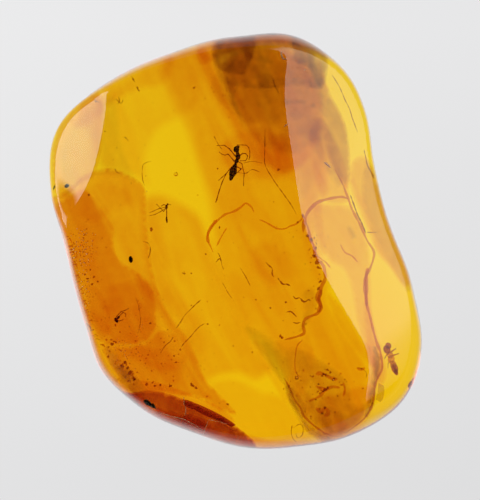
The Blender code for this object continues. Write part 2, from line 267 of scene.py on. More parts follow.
def seen(x, y, depth):
    """The point that shows at x, y from over the stone, so deep under its polished top along
    the sight line, which bends where it enters. A point past the rim is pulled in to it."""
    for pull in range(PULLS):
        aim = Vector((x, y, RIM_HEIGHT)) * (1 - 0.01 * pull)
        aim.z = RIM_HEIGHT
        ray = (aim - EYE).normalized()
        hit, _, face, _ = SURFACE.ray_cast(EYE, ray)
        if hit:
            break
    else:
        raise ValueError(f"nothing is seen at {x}, {y}")
    ring = STONE_FACES[face]
    weights = poly_3d_calc([STONE[index] for index in ring], hit)
    normal = Vector()
    for index, weight in zip(ring, weights):
        normal += amber.data.vertices[index].normal * weight
    normal.normalize()
    cosine = -ray.dot(normal)
    bend = cosine / AMBER_INDEX - math.sqrt(1 - (1 - cosine**2) / AMBER_INDEX**2)
    inner = ray / AMBER_INDEX + normal * bend
    run = SURFACE.ray_cast(hit + inner * 0.05, inner)[3] or FLOOR_GAP
    return hit + inner * min(depth, max(run - FLOOR_GAP, run / 2))


def smooth_line(places, pitch, closed=False):
    """Points about a pitch apart on a smooth curve. Its places are x, y, x, y and so on, in
    tenths of a millimetre."""
    points = [Vector((x / 10, y / 10)) for x, y in zip(places[::2], places[1::2])]
    total = len(points)
    made = []
    for first in range(total if closed else total - 1):
        p0, p1, p2, p3 = (
            points[(first + k) % total if closed else min(max(first + k, 0), total - 1)]
            for k in (-1, 0, 1, 2)
        )
        steps = max(1, round((p2 - p1).length / pitch))
        for step in range(steps):
            t = step / steps
            made.append(
                0.5 * (2 * p1 + (p2 - p0) * t + (2 * p0 - 5 * p1 + 4 * p2 - p3) * t**2
                       + (3 * p1 - p0 - 3 * p2 + p3) * t**3)
            )
    return made if closed else made + [points[-1]]


def distances(spots, ring):
    """How far each spot is from a closed outline, and which spots are inside it."""
    start, end = ring, np.roll(ring, -1, axis=0)
    side = end - start
    to_spot = spots[:, None, :] - start[None, :, :]
    share = (to_spot * side).sum(2) / np.maximum((side**2).sum(1), 1e-9)
    near = start + np.clip(share, 0, 1)[:, :, None] * side
    away = np.sqrt(((spots[:, None, :] - near) ** 2).sum(2)).min(1)
    y = spots[:, None, 1]
    spans = (start[None, :, 1] > y) != (end[None, :, 1] > y)
    rise = np.where(side[:, 1] == 0, 1e-9, side[:, 1])
    crossing = start[None, :, 0] + (y - start[None, :, 1]) * side[None, :, 0] / rise
    inside = (spans & (spots[:, None, 0] < crossing)).sum(1) % 2 == 1
    return away, inside


def film(bm, depth, layer, fade, outline):
    """A film inside an outline, so deep under the top: layer is how thick it lies, and fade is
    how wide its border is."""
    loop = smooth_line(outline, FILM_PITCH, closed=True)
    ring = np.array([tuple(point) for point in loop])
    low, high = ring.min(0), ring.max(0)
    columns = np.arange(low[0], high[0], FILM_PITCH)
    rows = np.arange(low[1], high[1], FILM_PITCH * 0.87)
    net = np.array([(x + row % 2 * FILM_PITCH / 2, y) for row, y in enumerate(rows) for x in columns])
    away, inside = distances(net, ring)
    kept = net[inside & (away > FILM_PITCH * 0.5)]
    edges = [(k, (k + 1) % len(loop)) for k in range(len(loop))]
    flat, _, faces, *_ = delaunay_2d_cdt(loop + [Vector(spot) for spot in kept], edges, [], 1, 1e-6)
    away, _ = distances(np.array([tuple(point) for point in flat]), ring)
    amount = bm.verts.layers.float["layer"]
    made = []
    for point, far in zip(flat, away):
        vertex = bm.verts.new(seen(*point, depth) * MM)
        share = min(far / fade, 1.0) if fade else 1.0
        vertex[amount] = layer * share * share * (3 - 2 * share)
        made.append(vertex)
    for face in faces:
        bm.faces.new([made[index] for index in face])


def films(name, runs, finish):
    """Some films of one kind, as one piece."""
    bm = bmesh.new()
    bm.verts.layers.float.new("layer")
    for run in runs:
        film(bm, *run)
    put(name, bm, finish)


def dust(name, red, green, blue, streaks, length, width, heading, speckle, milk=0.0):
    """Fine dust in clear resin, which takes so many shares of each light for a layer of 1,
    thicker and thinner in streaks of a length and a width in millimetres, and in speckles.
    Milk is the share that it scatters, which looks like haze. A few films of it are painted
    shade and painted highlight instead."""
    made, tree = new_material(name)
    layer = add_node(tree, "Attribute", attribute_name="layer")
    place = add_node(tree, "TexCoord")
    turn = {"Vector": place.outputs["Object"], "Rotation": (0.0, 0.0, -math.radians(heading))}
    turned = add_node(tree, "Mapping", turn)
    draw = {"Vector": turned.outputs[0], "Scale": (1 / (length * MM), 1 / (width * MM), 1 / (3 * MM))}
    drawn = add_node(tree, "Mapping", draw)
    wavy = {"Vector": drawn.outputs[0], "Scale": 1.0, "Detail": 1.5, "Distortion": 0.8}
    fine = {"Vector": place.outputs["Object"], "Scale": 0.9 / MM, "Detail": 4.0}
    wave, spot = (
        add_node(
            tree,
            "MapRange",
            {
                "Value": add_node(tree, "TexNoise", pattern).outputs[0],
                "From Min": 0.3,
                "From Max": 0.7,
                "To Min": 1 - swing,
                "To Max": 1 + swing,
            },
        )
        for pattern, swing in ((wavy, streaks), (fine, speckle))
    )
    both = add_node(tree, "Math", {0: wave.outputs[0], 1: spot.outputs[0]}, operation="MULTIPLY")
    amount = add_node(tree, "Math", {0: layer.outputs["Fac"], 1: both.outputs[0]}, operation="MULTIPLY")
    left = [
        add_node(tree, "Math", {0: 1 - share, 1: amount.outputs[0]}, operation="POWER").outputs[0]
        for share in (red, green, blue)
    ]
    tint = add_node(tree, "CombineColor", {"Red": left[0], "Green": left[1], "Blue": left[2]})
    clear = add_node(tree, "BsdfTransparent", {"Color": tint.outputs[0]})
    haze = add_node(tree, "BsdfTranslucent", {"Color": linear("#F2DCC8")})
    share = add_node(tree, "Math", {0: amount.outputs[0], 1: milk}, operation="MULTIPLY", use_clamp=True)
    both = add_node(tree, "MixShader", {0: share.outputs[0], 1: clear.outputs[0], 2: haze.outputs[0]})
    add_node(tree, "OutputMaterial", {"Surface": both.outputs[0] if milk else clear.outputs[0]})
    return made


# Outlines and paths are x, y, x, y and so on, in tenths of a millimetre. Depths, fades and
# widths are in millimetres. A layer of 1 of honey film takes 5 hundredths of the red and 19 of the green.
HONEY_FILMS = (
    # depth, layer, fade, outline
    # the old run along the left side
    (1.26, 2.4, 0.25, (
        -209, 41, -196, 50, -180, 60, -167, 72, -150, 79, -134, 80, -117, 74, -98, 59, -95, 23, -92, -10,
        -86, -43, -77, -68, -64, -90, -48, -109, -39, -131, -30, -153, -11, -173, 4, -191, -13, -189,
        -48, -173, -92, -169, -110, -175, -130, -169, -147, -158, -165, -123, -180, -85, -194, -43,
        -205, 1,
    )),
    (1.14, 2.2, 0.3, (
        -200, 39, -191, 45, -180, 51, -167, 58, -154, 48, -142, 31, -131, 14, -131, -6, -125, -21,
        -110, -31, -95, -43, -87, -57, -85, -79, -86, -98, -97, -112, -121, -116, -148, -112, -163, -85,
        -173, -61, -178, -32, -185, -6, -196, 20,
    )),
    (1.02, 1, 0.7, (
        -141, -52, -119, -43, -97, -43, -84, -65, -79, -90, -70, -107, -51, -123, -53, -140, -77, -147,
        -103, -138, -128, -120, -143, -90,
    )),
    (1.08, 0.7, 0.9, (
        -176, 47, -163, 62, -143, 69, -121, 62, -106, 48, -107, 35, -125, 31, -141, 21, -156, 16,
        -174, 27,
    )),
    (0.9, 1.7, 0.35, (
        -147, -113, -125, -115, -101, -113, -81, -98, -64, -103, -53, -127, -37, -158, -22, -175,
        -46, -173, -86, -169, -114, -167, -125, -159, -139, -136,
    )),
    (0.84, 0.8, 0.6, (
        -134, -116, -103, -114, -75, -120, -53, -138, -64, -160, -92, -162, -119, -153, -132, -136,
    )),
    (0.88, 1.3, 0.4, (-167, -46, -154, -48, -143, -59, -134, -83, -136, -105, -150, -101, -161, -74)),
    (0.88, 0.7, 0.7, (-70, -85, -51, -96, -33, -120, -35, -145, -53, -136, -64, -115)),
    # the broad run in the middle
    (1.32, 2.3, 1.6, (
        -79, 210, -53, 218, -21, 229, 29, 236, 75, 227, 97, 185, 108, 111, 108, 60, 99, 38, 95, 14,
        99, -13, 108, -39, 110, -65, 128, -94, 145, -120, 155, -151, 145, -219, 106, -230, 77, -215,
        62, -175, 37, -140, 13, -109, -9, -74, -22, -39, -28, -6, -31, 28, -37, 56, -46, 83, -56, 116,
        -72, 149, -86, 183,
    )),
    (1.14, 1, 1.4, (13, -10, 31, 5, 57, -4, 70, -24, 70, -43, 55, -54, 37, -54, 20, -39)),
    (1.08, 1.5, 1.1, (
        -20, 102, -7, 119, 18, 126, 42, 124, 62, 115, 68, 89, 62, 67, 31, 62, 2, 69, -15, 82,
    )),
    # the golden middle of the clear band, and its near end
    (1.2, 1.7, 1.3, (
        -103, 49, -81, 56, -55, 45, -34, 29, -21, 1, -10, -32, 2, -68, 18, -94, 33, -123, 46, -142,
        26, -158, 0, -151, -20, -156, -37, -167, -51, -145, -66, -116, -84, -87, -95, -60, -102, -24,
        -106, 16,
    )),
    (1.02, 1, 1, (
        -37, -160, -13, -149, 9, -151, 31, -162, 58, -171, 79, -197, 92, -236, 51, -244, 12, -237,
        -13, -204, -31, -180,
    )),
    (1.02, 0.6, 0.9, (
        -97, 45, -84, 45, -73, 14, -68, -24, -57, -54, -37, -85, -26, -116, -40, -127, -57, -112,
        -75, -85, -89, -57, -97, -24, -100, 12,
    )),
    # the upper left, and under the left shoulder
    (1.14, 0.9, 1.3, (
        -165, 135, -143, 163, -112, 188, -77, 210, -42, 218, -31, 177, -37, 144, -59, 130, -81, 117,
        -92, 89, -90, 56, -117, 67, -147, 71, -156, 100,
    )),
    (1.02, 0.25, 0.7, (
        -161, 122, -147, 150, -125, 155, -110, 133, -103, 100, -95, 69, -117, 75, -143, 80, -154, 89,
    )),
    (0.66, 1.8, 0.5, (
        -200, 108, -194, 128, -175, 150, -155, 164, -142, 157, -143, 122, -147, 89, -154, 69, -169, 62,
        -183, 46, -198, 49, -202, 83,
    )),
    (0.78, 1.2, 0.9, (
        -176, 144, -158, 166, -123, 190, -81, 212, -64, 199, -75, 170, -103, 163, -136, 146, -161, 122,
        -180, 122,
    )),
    (0.6, 2, 0.5, (
        -42, 218, -20, 232, 12, 238, 31, 240, 62, 238, 88, 227, 108, 207, 97, 203, 79, 210, 51, 214,
        18, 210, -13, 201, -37, 192,
    )),
    # streaks at the far end
    (0.7, 0.5, 0.4, (
        -29, 218, -9, 227, 11, 234, 21, 229, 22, 214, 19, 199, 14, 183, 11, 172, 2, 177, -13, 185,
        -22, 199,
    )),
    (1.02, 1.9, 1, (
        -46, 207, -22, 210, -2, 182, 15, 149, 35, 111, 44, 82, 22, 84, 2, 111, -18, 141, -37, 177,
    )),
    (0.9, 2.1, 0.7, (
        -13, 196, 29, 215, 73, 203, 95, 168, 98, 124, 86, 91, 68, 75, 45, 74, 31, 89, 18, 116, 2, 149,
    )),
    (0.84, 1.2, 0.25, (
        90, 203, 98, 194, 102, 177, 108, 160, 119, 139, 125, 122, 129, 91, 129, 69, 124, 56, 114, 69,
        104, 86, 98, 111, 91, 155,
    )),
    (0.81, 1.4, 0.4, (
        81, 115, 92, 137, 101, 133, 117, 100, 124, 82, 128, 53, 125, 41, 101, 41, 92, 56, 84, 82,
    )),
    (0.83, 0.8, 0.3, (84, 38, 97, 41, 100, 12, 103, -15, 93, -13, 86, 9)),
    (0.8, 1.3, 0.5, (
        88, 40, 106, 41, 128, 38, 141, 20, 150, -10, 152, -48, 154, -85, 164, -120, 169, -149, 158, -162,
        147, -131, 134, -87, 128, -54, 119, -32, 106, -24, 90, 1,
    )),
    (0.82, 0.3, 0.6, (92, 38, 106, 42, 123, 42, 139, 17, 147, -10, 134, -35, 108, -26, 97, 3)),
    (0.86, 0.5, 0.5, (
        73, 100, 90, 89, 106, 56, 97, 38, 90, 14, 95, -13, 101, -39, 92, -50, 79, -21, 73, 12, 73, 45,
    )),
    (0.84, 1.3, 0.5, (
        101, -54, 117, -68, 132, -90, 147, -114, 158, -136, 150, -140, 130, -116, 110, -85,
    )),
    (0.84, 0.8, 0.4, (20, -103, 33, -114, 55, -151, 66, -180, 55, -178, 40, -156, 24, -127)),
    (0.85, 1.3, 0.3, (
        141, -65, 150, -72, 156, -98, 162, -123, 165, -140, 158, -158, 152, -145, 145, -109,
    )),
    # under the right rim
    (0.78, 1.7, 0.5, (
        130, 89, 145, 93, 161, 62, 178, 27, 194, -17, 198, -43, 187, -52, 172, -32, 156, -13, 145, 14,
        132, 45, 125, 67,
    )),
    (0.78, 0.7, 0.8, (40, 111, 59, 119, 68, 102, 75, 71, 70, 56, 55, 69, 42, 75)),
    (0.74, 0.5, 0.3, (47, 111, 53, 113, 55, 104, 53, 91, 52, 75, 46, 78, 44, 93)),
    # along the near rim, and at the plate's left
    (0.6, 1.9, 0.5, (
        11, -213, 40, -218, 73, -219, 111, -215, 150, -202, 180, -180, 202, -149, 218, -153, 209, -186,
        178, -219, 117, -247, 29, -247, 4, -233,
    )),
    (0.85, 0.8, 0.5, (42, -112, 62, -105, 86, -116, 88, -142, 79, -167, 70, -175, 57, -158, 46, -134)),
    (0.82, 1, 0.5, (
        55, -149, 73, -156, 86, -171, 101, -189, 119, -195, 134, -206, 101, -221, 84, -204, 66, -178,
    )),
    (0.56, 1.2, 0.15, (55, -151, 65, -158, 76, -173, 85, -186, 79, -197, 69, -189, 59, -171)),
    (0.58, 1.2, 0.6, (
        92, -173, 112, -167, 134, -160, 154, -158, 153, -180, 143, -197, 123, -213, 103, -215, 92, -197,
    )),
    (0.8, 1.2, 0.3, (143, -109, 154, -120, 159, -142, 156, -167, 150, -186, 143, -173, 147, -145)),
)
SMOKY_FILMS = (
    (0.81, 0.75, 0.3, (
        -25, 221, -12, 232, 7, 240, 31, 247, 73, 243, 92, 229, 103, 207, 103, 181, 97, 166, 73, 168,
        31, 166, 18, 166, 2, 168, -13, 172, -23, 192,
    )),
    (0.76, 0.9, 0.2, (
        25, 205, 37, 202, 55, 201, 68, 194, 80, 190, 89, 172, 100, 172, 104, 203, 93, 225, 75, 238,
        62, 234, 63, 216, 64, 207, 55, 204, 37, 205,
    )),
    (0.84, 0.45, 0.8, (
        -9, 172, 31, 177, 73, 174, 97, 172, 101, 146, 97, 115, 81, 100, 64, 91, 46, 96, 24, 107, 4, 130,
    )),
    (0.75, 1.2, 0.35, (
        -24, 216, -9, 227, 11, 234, 22, 230, 25, 216, 22, 203, 18, 190, 13, 181, 4, 181, -13, 185,
        -24, 199,
    )),
    (0.77, 0.7, 0.4, (-13, 196, 0, 194, 4, 172, 2, 155, 11, 137, 7, 133, -4, 150, -11, 170)),
    (0.72, 0.35, 0.2, (
        26, 205, 35, 203, 55, 202, 73, 201, 89, 196, 95, 185, 79, 190, 68, 195, 51, 196, 37, 192,
        26, 192,
    )),
    (0.69, 0.35, 0.2, (
        26, 185, 42, 181, 62, 180, 81, 179, 97, 174, 98, 166, 79, 168, 55, 170, 37, 168, 26, 172,
    )),
    (0.66, 0.6, 0.2, (55, 157, 73, 156, 90, 151, 100, 145, 86, 146, 70, 149, 55, 149)),
    (0.66, 0.2, 0.5, (56, 138, 78, 139, 95, 135, 99, 117, 93, 106, 75, 111, 59, 119)),
    (0.75, 0.3, 0.2, (
        92, 201, 98, 194, 101, 177, 108, 160, 119, 139, 125, 122, 128, 91, 128, 71, 123, 58, 113, 71,
        103, 89, 97, 111, 91, 155,
    )),
    (0.72, 0.45, 0.5, (87, 133, 98, 133, 110, 119, 118, 97, 121, 71, 117, 56, 106, 67, 95, 86, 81, 108)),
    (0.72, 0.4, 0.3, (123, 16, 128, 18, 134, 9, 136, -2, 131, -3, 125, 7)),
    # painted shade: this smoky film, left of the plate's gold fold, stands in for the shade beside the fold
    (0.72, 0.35, 0.3, (73, -59, 86, -50, 92, -63, 90, -81, 79, -96, 69, -107, 74, -87, 76, -72)),
    (0.5, 0.7, 0.12, (53, -149, 59, -153, 70, -167, 80, -184, 77, -199, 66, -188, 57, -169)),
    (0.5, 1.1, 0.12, (
        148, -105, 155, -112, 161, -127, 162, -140, 158, -158, 157, -175, 150, -192, 141, -200,
        145, -184, 148, -162, 151, -145, 152, -120,
    )),
    (0.72, 0.7, 0.3, (-132, -138, -119, -138, -103, -153, -95, -167, -110, -171, -123, -160)),
    # low on the right
    (0.72, 0.5, 0.6, (
        55, -123, 73, -118, 97, -131, 117, -145, 128, -160, 134, -180, 154, -175, 147, -189, 136, -206,
        122, -217, 100, -221, 81, -204, 68, -175,
    )),
    (0.63, 0.4, 0.6, (
        69, -158, 79, -167, 99, -178, 114, -186, 128, -193, 125, -208, 108, -217, 92, -206, 79, -186,
    )),
)
MILKY_FILMS = (
    # along the right rim, where the pale haze is partly painted highlight on the rim and the ridge
    (0.35, 0.6, 0.3, (
        145, 95, 154, 80, 161, 62, 169, 45, 178, 27, 188, 1, 196, -24, 199, -48, 191, -58, 179, -42,
        167, -24, 156, -2, 147, 20, 141, 39, 139, 61, 142, 80,
    )),
    (0.4, 0.6, 0.3, (
        99, 155, 109, 155, 119, 139, 125, 122, 128, 91, 128, 71, 123, 60, 114, 71, 104, 89, 98, 113,
        96, 137,
    )),
    (0.4, 0.35, 0.6, (59, 141, 77, 144, 97, 133, 101, 111, 97, 78, 79, 45, 70, 49, 66, 78, 62, 111)),
    (0.6, 0.3, 0.6, (-22, 216, 2, 227, 20, 227, 26, 199, 31, 177, 7, 172, -9, 188)),
    # along the left rim, and low on the left
    (0.3, 0.7, 0.3, (
        -180, -13, -172, -24, -163, -65, -152, -105, -139, -136, -117, -162, -103, -178, -117, -180,
        -141, -160, -158, -123, -172, -83, -185, -39,
    )),
    (0.4, 0.8, 0.4, (
        -143, -116, -132, -120, -121, -134, -110, -147, -114, -158, -128, -149, -139, -134,
    )),
    # at the foot of the plate
    (0.4, 1.1, 0.12, (
        57, -158, 64, -162, 70, -178, 81, -197, 97, -213, 114, -219, 101, -224, 81, -213, 68, -195,
        56, -171,
    )),
    (0.4, 0.9, 0.2, (73, -193, 86, -204, 99, -212, 117, -217, 125, -211, 114, -224, 92, -219, 77, -208)),
    (0.4, 0.8, 0.2, (
        147, -103, 154, -107, 159, -125, 163, -140, 159, -153, 156, -167, 153, -184, 147, -184,
        150, -164, 153, -147, 154, -131, 151, -116,
    )),
    # painted glint: the small pale film at the chip stands in for the light mirrored by its facet
    (0.12, 0.9, 0, (159, -157, 165, -160, 165, -171, 161, -178, 156, -175, 158, -167)),
)
OLIVE_FILMS = (
    (0.99, 0.5, 0.5, (
        7, -90, 19, -94, 33, -101, 51, -112, 62, -123, 64, -145, 56, -160, 44, -147, 31, -129, 18, -112,
    )),
    (0.9, 0.35, 0.3, (29, -109, 40, -112, 55, -125, 65, -138, 68, -158, 62, -169, 47, -151, 35, -131)),
    (1.08, 0.3, 0.7, (
        -194, 100, -169, 141, -143, 163, -129, 157, -125, 135, -123, 111, -114, 85, -104, 62, -128, 69,
        -150, 69, -167, 58, -183, 45, -191, 67,
    )),
)
honey_dust = dust("honey_dust", 0.051, 0.188, 0.26, 0.22, 11.0, 2.2, 115, 0.08)
smoky_dust_and_shade = dust("smoky_dust_and_shade", 0.34, 0.43, 0.20, 0.3, 8.0, 1.6, 115, 0.3, 0.035)
milky_haze_and_highlight = dust("milky_haze_and_highlight", 0.06, 0.14, 0.0, 0.2, 6.0, 1.6, 110, 0.1, 0.3)
olive_dust = dust("olive_dust", 0.26, 0.24, 0.20, 0.2, 9.0, 2.2, 120, 0.06)
films("honey_films", HONEY_FILMS, honey_dust)
films("smoky_films", SMOKY_FILMS, smoky_dust_and_shade)
films("milky_films", MILKY_FILMS, milky_haze_and_highlight)
films("olive_films", OLIVE_FILMS, olive_dust)

# ---- the dark red run ----
# Resin at the near rim that weathered to dark red before the next run covered it. Small
# flat cracks split it.

RED_RUN = (-5.4, -17.8, 0.0, 6.6, 1.4, 1.6, -21)
red_resin = resin("red_fossil_resin", 0.05, 0.24, 0.3)
red_run = put("red_run_resin", dark_run(RED_RUN, 0.1, 0.5), red_resin)
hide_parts("red_run")
RED_FILMS = (
    (0.9, 1.45, 0.06, (
        -141, -158, -128, -164, -112, -167, -97, -164, -81, -166, -66, -170, -53, -175, -33, -184,
        -18, -191, 0, -202, 13, -212, 24, -223, 26, -237, 2, -239, -26, -228, -54, -219, -81, -208,
        -108, -193, -132, -178,
    )),
    (0.8, 1.6, 0, (
        -54, -175, -42, -179, -26, -186, -11, -194, 2, -203, -2, -205, -15, -199, -31, -193, -44, -186,
        -54, -182,
    )),
    (0.75, 0.5, 0.1, (
        -86, -184, -70, -186, -55, -191, -40, -195, -29, -202, -33, -212, -48, -213, -68, -206,
        -88, -193,
    )),
    (0.7, 0.4, 0, (-53, -191, -31, -197, -25, -202, -34, -217, -55, -211)),
    (0.7, 0.35, 0, (-24, -200, -13, -202, -2, -208, 2, -219, -4, -228, -29, -222, -34, -215)),
    (0.6, 0.5, 0.3, (-134, -162, -117, -167, -102, -169, -96, -178, -103, -186, -121, -178)),
)
red_dust = dust("red_dust", 0.41, 0.78, 0.45, 0.18, 3.0, 0.8, 155, 0.15, 0.07)
films("red_films", RED_FILMS, red_dust)

# ---- the healed cracks ----
# The resin shrank as it hardened, and cracks opened in it. Ground water stained the edges of
# the widest plates brown before they closed. Bark hairs lie among them.

STRAND_SIDES = 6


def threads(name, runs, depth, finish, ragged=0.35, grain=1.6):
    """Thin closed strands through paths so deep under the top. Each run has a width and a
    path, and its ends taper. Ragged is how much the width wanders."""
    turns = [math.tau * corner / STRAND_SIDES for corner in range(STRAND_SIDES)]
    bm = bmesh.new()
    for number, (width, path) in enumerate(runs):
        line = smooth_line(path, min(0.3, max(0.12, width)))
        rings = []
        for k, flat in enumerate(line):
            along = (line[min(k + 1, len(line) - 1)] - line[max(k - 1, 0)]).normalized()
            from_end = min(k, len(line) - 1 - k) / max(len(line) - 1, 1) * 2
            swell = 1 + ragged * 2 * noise.noise(Vector((*(flat * grain), number * 5.1)))
            reach = width / 2 * max(swell, 0.2) * (0.25 + 0.75 * min(from_end * 5, 1.0))
            middle = seen(*flat, depth)
            side = Vector((-along.y, along.x, 0.0)) * reach
            lift = Vector((0.0, 0.0, reach))
            spots = [middle + side * math.cos(turn) + lift * math.sin(turn) for turn in turns]
            rings.append([bm.verts.new(spot * MM) for spot in spots])
        for first, second in zip(rings, rings[1:]):
            for k in range(STRAND_SIDES):
                after = (k + 1) % STRAND_SIDES
                bm.faces.new((first[k], first[after], second[after], second[k]))
        bm.faces.new(rings[0][::-1])
        bm.faces.new(rings[-1])
    put(name, bm, finish)


def stain(name, through, body, cover, skin="BsdfDiffuse"):
    """A stain in the resin: through is the colour that a strand lets through, body is its own
    colour, cover is how much of it shows, and skin is how it throws light back."""
    made, tree = new_material(name)
    place = add_node(tree, "TexCoord")
    pattern = {"Vector": place.outputs["Object"], "Scale": 1.3 / MM, "Detail": 3.0}
    patches = add_node(tree, "TexNoise", pattern)
    faint = [(1 + share) / 2 for share in linear(through)]
    shades = {"Factor": patches.outputs[0], "A": faint, "B": linear(through)}
    tint = add_node(tree, "Mix", shades, data_type="RGBA")
    clear = add_node(tree, "BsdfTransparent", {"Color": tint.outputs["Result"]})
    lit = add_node(tree, skin, {"Color": linear(body), "Roughness": 0.6})
    glow = add_node(tree, "BsdfTranslucent", {"Color": linear(body)})
    grit = add_node(tree, "MixShader", {0: 0.5, 1: lit.outputs[0], 2: glow.outputs[0]})
    both = add_node(tree, "MixShader", {0: cover, 1: clear.outputs[0], 2: grit.outputs[0]})
    add_node(tree, "OutputMaterial", {"Surface": both.outputs[0]})
    return made


PLATE_EDGES = (
    # width, path
    (0.27, (
        111, 78, 119, 63, 125, 48, 130, 34, 139, 17, 146, 1, 153, -10, 154, -17, 150, -30, 145, -40,
        145, -54, 146, -70, 150, -85, 153, -98, 157, -112, 161, -123, 163, -140, 158, -151, 155, -159,
        154, -170, 152, -181, 144, -195, 128, -208, 117, -216,
    )),
    (0.5, (147, -30, 145, -43, 145, -57, 146, -72)),
    (0.34, (76, 9, 77, 18, 80, 29, 86, 37, 92, 42, 101, 45, 110, 47, 119, 48, 125, 46)),
    (0.3, (
        79, 20, 82, 12, 84, 1, 88, -6, 89, -14, 92, -21, 98, -27, 100, -35, 100, -43, 96, -51, 95, -59,
        93, -65, 96, -74, 92, -80, 85, -83, 78, -87, 76, -94, 77, -102, 68, -106, 56, -109,
    )),
    (0.5, (92, -79, 95, -71, 92, -63, 96, -54)),
    (0.2, (
        55, -151, 59, -158, 63, -167, 66, -174, 73, -184, 77, -193, 86, -202, 97, -210, 108, -215,
        119, -216,
    )),
    (0.1, (76, -109, 70, -115, 68, -123, 67, -134, 68, -145, 74, -151)),
)
threads("plate_edges", PLATE_EDGES, 1.0, stain("water_stain", "#F0CDB8", "#C87850", 0.08))
ORANGE_EDGES = (
    (0.22, (
        -23, -13, -26, -6, -29, 1, -28, 9, -23, 17, -16, 24, -9, 29, 0, 32, 8, 37, 13, 41, 19, 37,
        22, 31,
    )),
    (0.35, (-28, -3, -29, 6, -25, 15, -19, 23)),
    (0.16, (28, 23, 35, 20, 42, 16, 48, 13, 56, 13, 62, 16, 68, 18, 74, 23, 76, 27)),
    (0.16, (-19, -6, -14, 4, -8, 14)),
    (0.14, (106, -30, 101, -24, 92, -17, 88, -10)),
    (0.2, (117, -4, 122, -13, 130, -17, 136, -24)),
    (0.3, (90, -147, 95, -146, 99, -147, 106, -151, 114, -153)),
    (0.35, (90, -160, 96, -163, 101, -164, 108, -161, 117, -162)),
    (0.3, (100, -164, 96, -170, 89, -174, 82, -177)),
    (0.22, (120, -156, 122, -164, 120, -172)),
    (0.4, (90, -184, 96, -189, 100, -184, 104, -190, 99, -193)),
    (0.25, (135, -140, 140, -142, 144, -140)),
)
threads("orange_edges", ORANGE_EDGES, 1.3, stain("iron_stain", "#F6D6A8", "#D88020", 0.06))
OPEN_CRACKS = (
    (0.28, (52, 208, 52, 205, 53, 202, 54, 200, 58, 199)),
    (0.22, (55, 125, 57, 127, 59, 128)),
    (0.2, (99, 86, 102, 84, 106, 80)),
    (0.14, (77, 188, 79, 187)),
    (0.14, (78, 218, 79, 218)),
    (0.1, (-55, -172, -55, -179, -53, -185, -54, -193)),
    (0.08, (-87, -188, -70, -193, -55, -197, -40, -205, -31, -211)),
    (0.06, (-73, -194, -57, -199, -42, -206, -33, -212)),
    (0.05, (-64, -202, -48, -206, -37, -212)),
    (0.07, (-28, -197, -31, -205, -34, -213)),
    (0.06, (-28, -197, -18, -199, -8, -202)),
)
air_film = stain("air_film", "#FFF0E6", "#FFE8DC", 0.8, "BsdfGlossy")
threads("open_cracks", OPEN_CRACKS, 0.45, air_film)
HAIRS = (
    (0.075, (34, 122, 34, 102, 34, 84, 42, 69, 48, 60, 56, 49, 63, 39, 69, 28)),
    (0.13, (128, 50, 132, 39, 136, 28, 141, 18, 145, 8)),
    (0.09, (108, 182, 116, 169, 122, 155, 127, 145, 130, 135, 133, 127, 136, 119)),
    (0.1, (143, 100, 145, 91, 147, 82, 151, 75, 154, 68)),
    (0.13, (35, -24, 39, -28, 42, -31, 42, -37, 44, -40)),
    (0.12, (48, -41, 51, -45, 54, -48, 58, -48, 62, -50)),
    (0.12, (65, -61, 68, -64, 72, -63, 76, -67, 79, -67, 82, -65, 85, -67)),
    (0.1, (57, -79, 62, -78, 65, -80, 67, -82, 69, -84)),
    (0.11, (65, -90, 69, -91, 73, -90)),
    (0.08, (-64, -97, -59, -90, -54, -82, -48, -76, -42, -70, -36, -65)),
    (0.08, (-81, -124, -78, -119, -75, -115, -70, -111, -67, -106)),
    (0.07, (-58, -117, -54, -112, -48, -106, -43, -100, -37, -94, -31, -91)),
    (0.06, (-13, -46, -10, -51, -7, -57, -2, -64)),
    (0.06, (7, -30, 10, -35, 13, -40, 18, -50)),
    (0.06, (-91, 87, -96, 86, -100, 83, -101, 76, -101, 71, -100, 65, -98, 60)),
    (0.08, (-100, -1, -96, -2, -93, -5, -92, -10, -93, -16, -95, -20)),
    (0.05, (-13, 100, -18, 107, -22, 115)),
    (0.06, (4, 75, 13, 74, 20, 78, 29, 75)),
    (0.06, (10, 85, 20, 87, 31, 85)),
    (0.07, (64, -203, 63, -211, 65, -218, 69, -222)),
    (0.06, (66, -206, 72, -202, 76, -206, 75, -214, 70, -217, 68, -212)),
    (0.06, (92, -210, 98, -212, 103, -216, 107, -222)),
    (0.07, (-131, 79, -129, 75, -125, 74)),
    (0.08, (-113, 181, -111, 178, -109, 174)),
    (0.1, (-107, 170, -106, 167, -104, 164)),
    (0.06, (-130, 156, -127, 153, -124, 151, -122, 155)),
    (0.06, (-127, 158, -126, 153, -128, 150)),
    (0.08, (-154, 155, -151, 153, -148, 152)),
    (0.05, (-121, 114, -118, 112, -116, 109)),
    (0.09, (146, 9, 151, 9, 157, 9)),
    (0.09, (-57, -35, -55, -37, -53, -36)),
    (0.07, (-55, -34, -54, -38)),
    (0.06, (-18, -13, -15, -19, -13, -28, -11, -32)),
    (0.09, (-20, -24, -16, -20, -14, -23)),
    (0.05, (-108, -63, -104, -76, -103, -90, -106, -103)),
    (0.06, (31, 181, 36, 183, 42, 179, 45, 170, 50, 161)),
    (0.05, (135, -140, 141, -141, 146, -146, 145, -151)),
)
bark_hair = stain("bark_hair", "#C8985C", "#8A4A18", 0.08)
threads("bark_hairs", HAIRS, 1.1, bark_hair, 0.5, 3.0)

# ---- the bark crumbs ----
# Specks of bark and soil that stuck to each run. No two are alike, and the smallest are dust.


